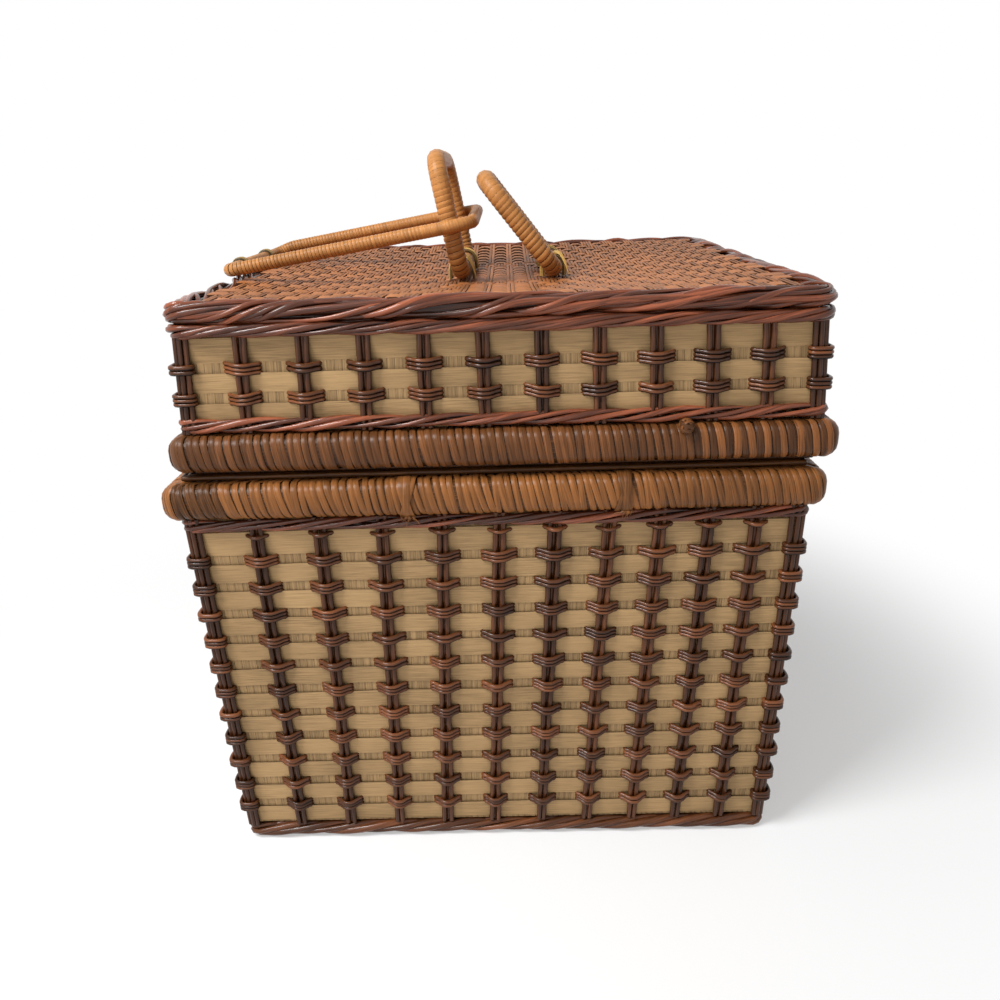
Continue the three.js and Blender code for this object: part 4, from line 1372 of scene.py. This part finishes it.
class BASKET_OT_rims(bpy.types.Operator):
    """Wind flat cane round both rims, with the ties and the knot on them"""

    bl_idname = "basket.rims"
    bl_label = "Wrapped Rims"

    def execute(self, context):
        wrapped_rim("lid", (LID_GROOVE, 0), "russet_wrap", lid_rim_tone, russet_wrap())
        wrapped_rim("box", (0, BOX_GROOVE), "golden_wrap", box_rim_tone, golden_wrap())
        for number in range(2):
            rim_tie(number, golden_wrap())
        rim_knot(russet_wrap())
        return {"FINISHED"}


class BASKET_OT_panels(bpy.types.Operator):
    """Weave the lid's chevron panel and the box's bottom"""

    bl_idname = "basket.panels"
    bl_label = "Lid Panel and Bottom"

    def execute(self, context):
        lid_panel(chevron_splint())
        base_panel(shaved_splint())
        return {"FINISHED"}


class BASKET_OT_handles(bpy.types.Operator):
    """Bind the ring handles and the closing loop"""

    bl_idname = "basket.handles"
    bl_label = "Handles"

    def execute(self, context):
        for name in RING_CROWNS:
            ring_handle(name, honey_wrap())
        closing_loop(honey_wrap())
        return {"FINISHED"}


class BASKET_OT_ties(bpy.types.Operator):
    """Tie the handles down and the lid to the box with split cane"""

    bl_idname = "basket.ties"
    bl_label = "Ties and Hinges"

    def execute(self, context):
        for handle in TIE_SLACK:
            for end in ENDS:
                bar_tie(handle, end, split_cane())
        for end in ENDS:
            for body in STOREYS:
                hinge_tie(body, end, split_cane())
        return {"FINISHED"}


def photo_camera():
    """A camera that stands where the photograph was taken from."""
    yaw, pitch, roll = (math.radians(a) for a in (CAMERA_YAW, CAMERA_PITCH, CAMERA_ROLL))
    level = math.cos(pitch)
    ahead = Vector((math.sin(yaw) * level, math.cos(yaw) * level, -math.sin(pitch)))
    across = Vector((math.cos(yaw), -math.sin(yaw), 0))
    down = ahead.cross(across)
    right = math.cos(roll) * across + math.sin(roll) * down
    below = math.cos(roll) * down - math.sin(roll) * across
    data = bpy.data.cameras.new("photo_camera")
    data.lens = CAMERA_LENS
    data.sensor_width = CAMERA_SENSOR
    camera = bpy.data.objects.new("photo_camera", data)
    turn = Matrix((right, -below, -ahead)).transposed()
    camera.matrix_world = Matrix.Translation(CAMERA_PLACE) @ turn.to_4x4()
    bpy.context.scene.collection.objects.link(camera)
    bpy.context.scene.camera = camera


def soft_box(name, place, size, watts):
    """A square studio light that faces the basket."""
    data = bpy.data.lights.new(name, "AREA")
    data.shape = "SQUARE"
    data.size = size
    data.energy = watts
    light = bpy.data.objects.new(name, data)
    light.location = place
    light.rotation_mode = "QUATERNION"
    light.rotation_quaternion = (Vector(LAMP_TARGET) - Vector(place)).to_track_quat("-Z", "Y")
    bpy.context.scene.collection.objects.link(light)


def seen_rays(tree):
    """One for the rays that show the background: those of the camera, of gloss and of glass."""
    rays = add(tree, "ShaderNodeLightPath")
    seen = rays.outputs["Is Camera Ray"]
    for kind in ("Is Glossy Ray", "Is Transmission Ray"):
        both = {0: seen, 1: rays.outputs[kind]}
        seen = add(tree, "ShaderNodeMath", both, operation="ADD", use_clamp=True).outputs[0]
    return seen


def pale_floor():
    """A matt white floor that keeps the basket's shadow and fades to plain white further off."""
    mesh = bpy.data.meshes.new("floor")
    square_corners = ((-1, -1), (1, -1), (1, 1), (-1, 1))
    corners = [(x * FLOOR_REACH, y * FLOOR_REACH, 0) for x, y in square_corners]
    mesh.from_pydata(corners, [], [(0, 1, 2, 3)])
    material = bpy.data.materials.new("matt_white_paper")
    material.use_nodes = True
    tree = material.node_tree
    paper = tree.nodes["Principled BSDF"]
    paper.inputs["Base Color"].default_value = (*linear("#fafafa"), 1)
    paper.inputs["Roughness"].default_value = 0.95
    place = add(tree, "ShaderNodeTexCoord")
    away = add(tree, "ShaderNodeVectorMath", {0: place.outputs["Object"]}, operation="LENGTH")
    fade = add(
        tree, "ShaderNodeMapRange",
        {"Value": away.outputs["Value"], "From Min": FLOOR_NEAR, "From Max": FLOOR_FAR,
         "To Min": FLOOR_WHITE},
        interpolation_type="SMOOTHSTEP",
    )
    seen = add(
        tree, "ShaderNodeMath", {0: fade.outputs[0], 1: seen_rays(tree)}, operation="MULTIPLY"
    )
    white = add(tree, "ShaderNodeEmission", {"Color": (1, 1, 1, 1), "Strength": 1})
    both = add(
        tree, "ShaderNodeMixShader", {0: seen.outputs[0], 1: paper.outputs[0], 2: white.outputs[0]}
    )
    tree.links.new(both.outputs[0], tree.nodes["Material Output"].inputs["Surface"])
    mesh.materials.append(material)
    floor = bpy.data.objects.new("floor", mesh)
    floor.location.z = -FLOOR_DROP
    bpy.context.scene.collection.objects.link(floor)


def white_world():
    """A white room, dimmer as a light than as a background."""
    world = bpy.data.worlds.new("white_room")
    world.use_nodes = True
    tree = world.node_tree
    background = tree.nodes["Background"]
    background.inputs["Color"].default_value = (1, 1, 1, 1)
    strength = add(
        tree, "ShaderNodeMapRange", {"Value": seen_rays(tree), "To Min": ROOM_LIGHT, "To Max": 1}
    )
    tree.links.new(strength.outputs[0], background.inputs["Strength"])
    bpy.context.scene.world = world


class BASKET_OT_stage(bpy.types.Operator):
    """Set up the floor, the lights and the camera"""

    bl_idname = "basket.stage"
    bl_label = "Stage"

    def execute(self, context):
        context.scene.view_settings.view_transform = "Standard"
        pale_floor()
        white_world()
        soft_box("key_light", **KEY_LAMP)
        soft_box("front_light", **FRONT_LAMP)
        photo_camera()
        return {"FINISHED"}


OPERATORS = (
    BASKET_OT_walls,
    BASKET_OT_stakes,
    BASKET_OT_ropes,
    BASKET_OT_rims,
    BASKET_OT_panels,
    BASKET_OT_handles,
    BASKET_OT_ties,
    BASKET_OT_stage,
)
GROUPS = {
    "basket_weave": BasketWeave,
    "basket_canes": BasketCanes,
    "basket_colours": BasketColours,
}


class BASKET_PT_sidebar(bpy.types.Panel):
    """Lists the basket's pieces, sizes and colours"""

    bl_label = "Basket"
    bl_idname = "BASKET_PT_sidebar"
    bl_space_type = "VIEW_3D"
    bl_region_type = "UI"
    bl_category = "Basket"

    def draw(self, context):
        for operator in OPERATORS:
            self.layout.operator(operator.bl_idname)
        for name, group in GROUPS.items():
            column = self.layout.column()
            for setting in group.__annotations__:
                column.prop(getattr(context.scene, name), setting)


CLASSES = (*GROUPS.values(), *OPERATORS, BASKET_PT_sidebar)


def register():
    """Registers the add-on's classes and its settings on the scene."""
    for cls in CLASSES:
        bpy.utils.register_class(cls)
    for name, group in GROUPS.items():
        setattr(bpy.types.Scene, name, bpy.props.PointerProperty(type=group))


def unregister():
    """Takes the settings and the classes away again."""
    for name in GROUPS:
        delattr(bpy.types.Scene, name)
    for cls in reversed(CLASSES):
        bpy.utils.unregister_class(cls)


def main():
    """Builds every piece and sets up the stage."""
    register()
    bpy.ops.basket.walls()
    bpy.ops.basket.stakes()
    bpy.ops.basket.ropes()
    bpy.ops.basket.rims()
    bpy.ops.basket.panels()
    bpy.ops.basket.handles()
    bpy.ops.basket.ties()
    bpy.ops.basket.stage()


if __name__ == "__main__":
    main()
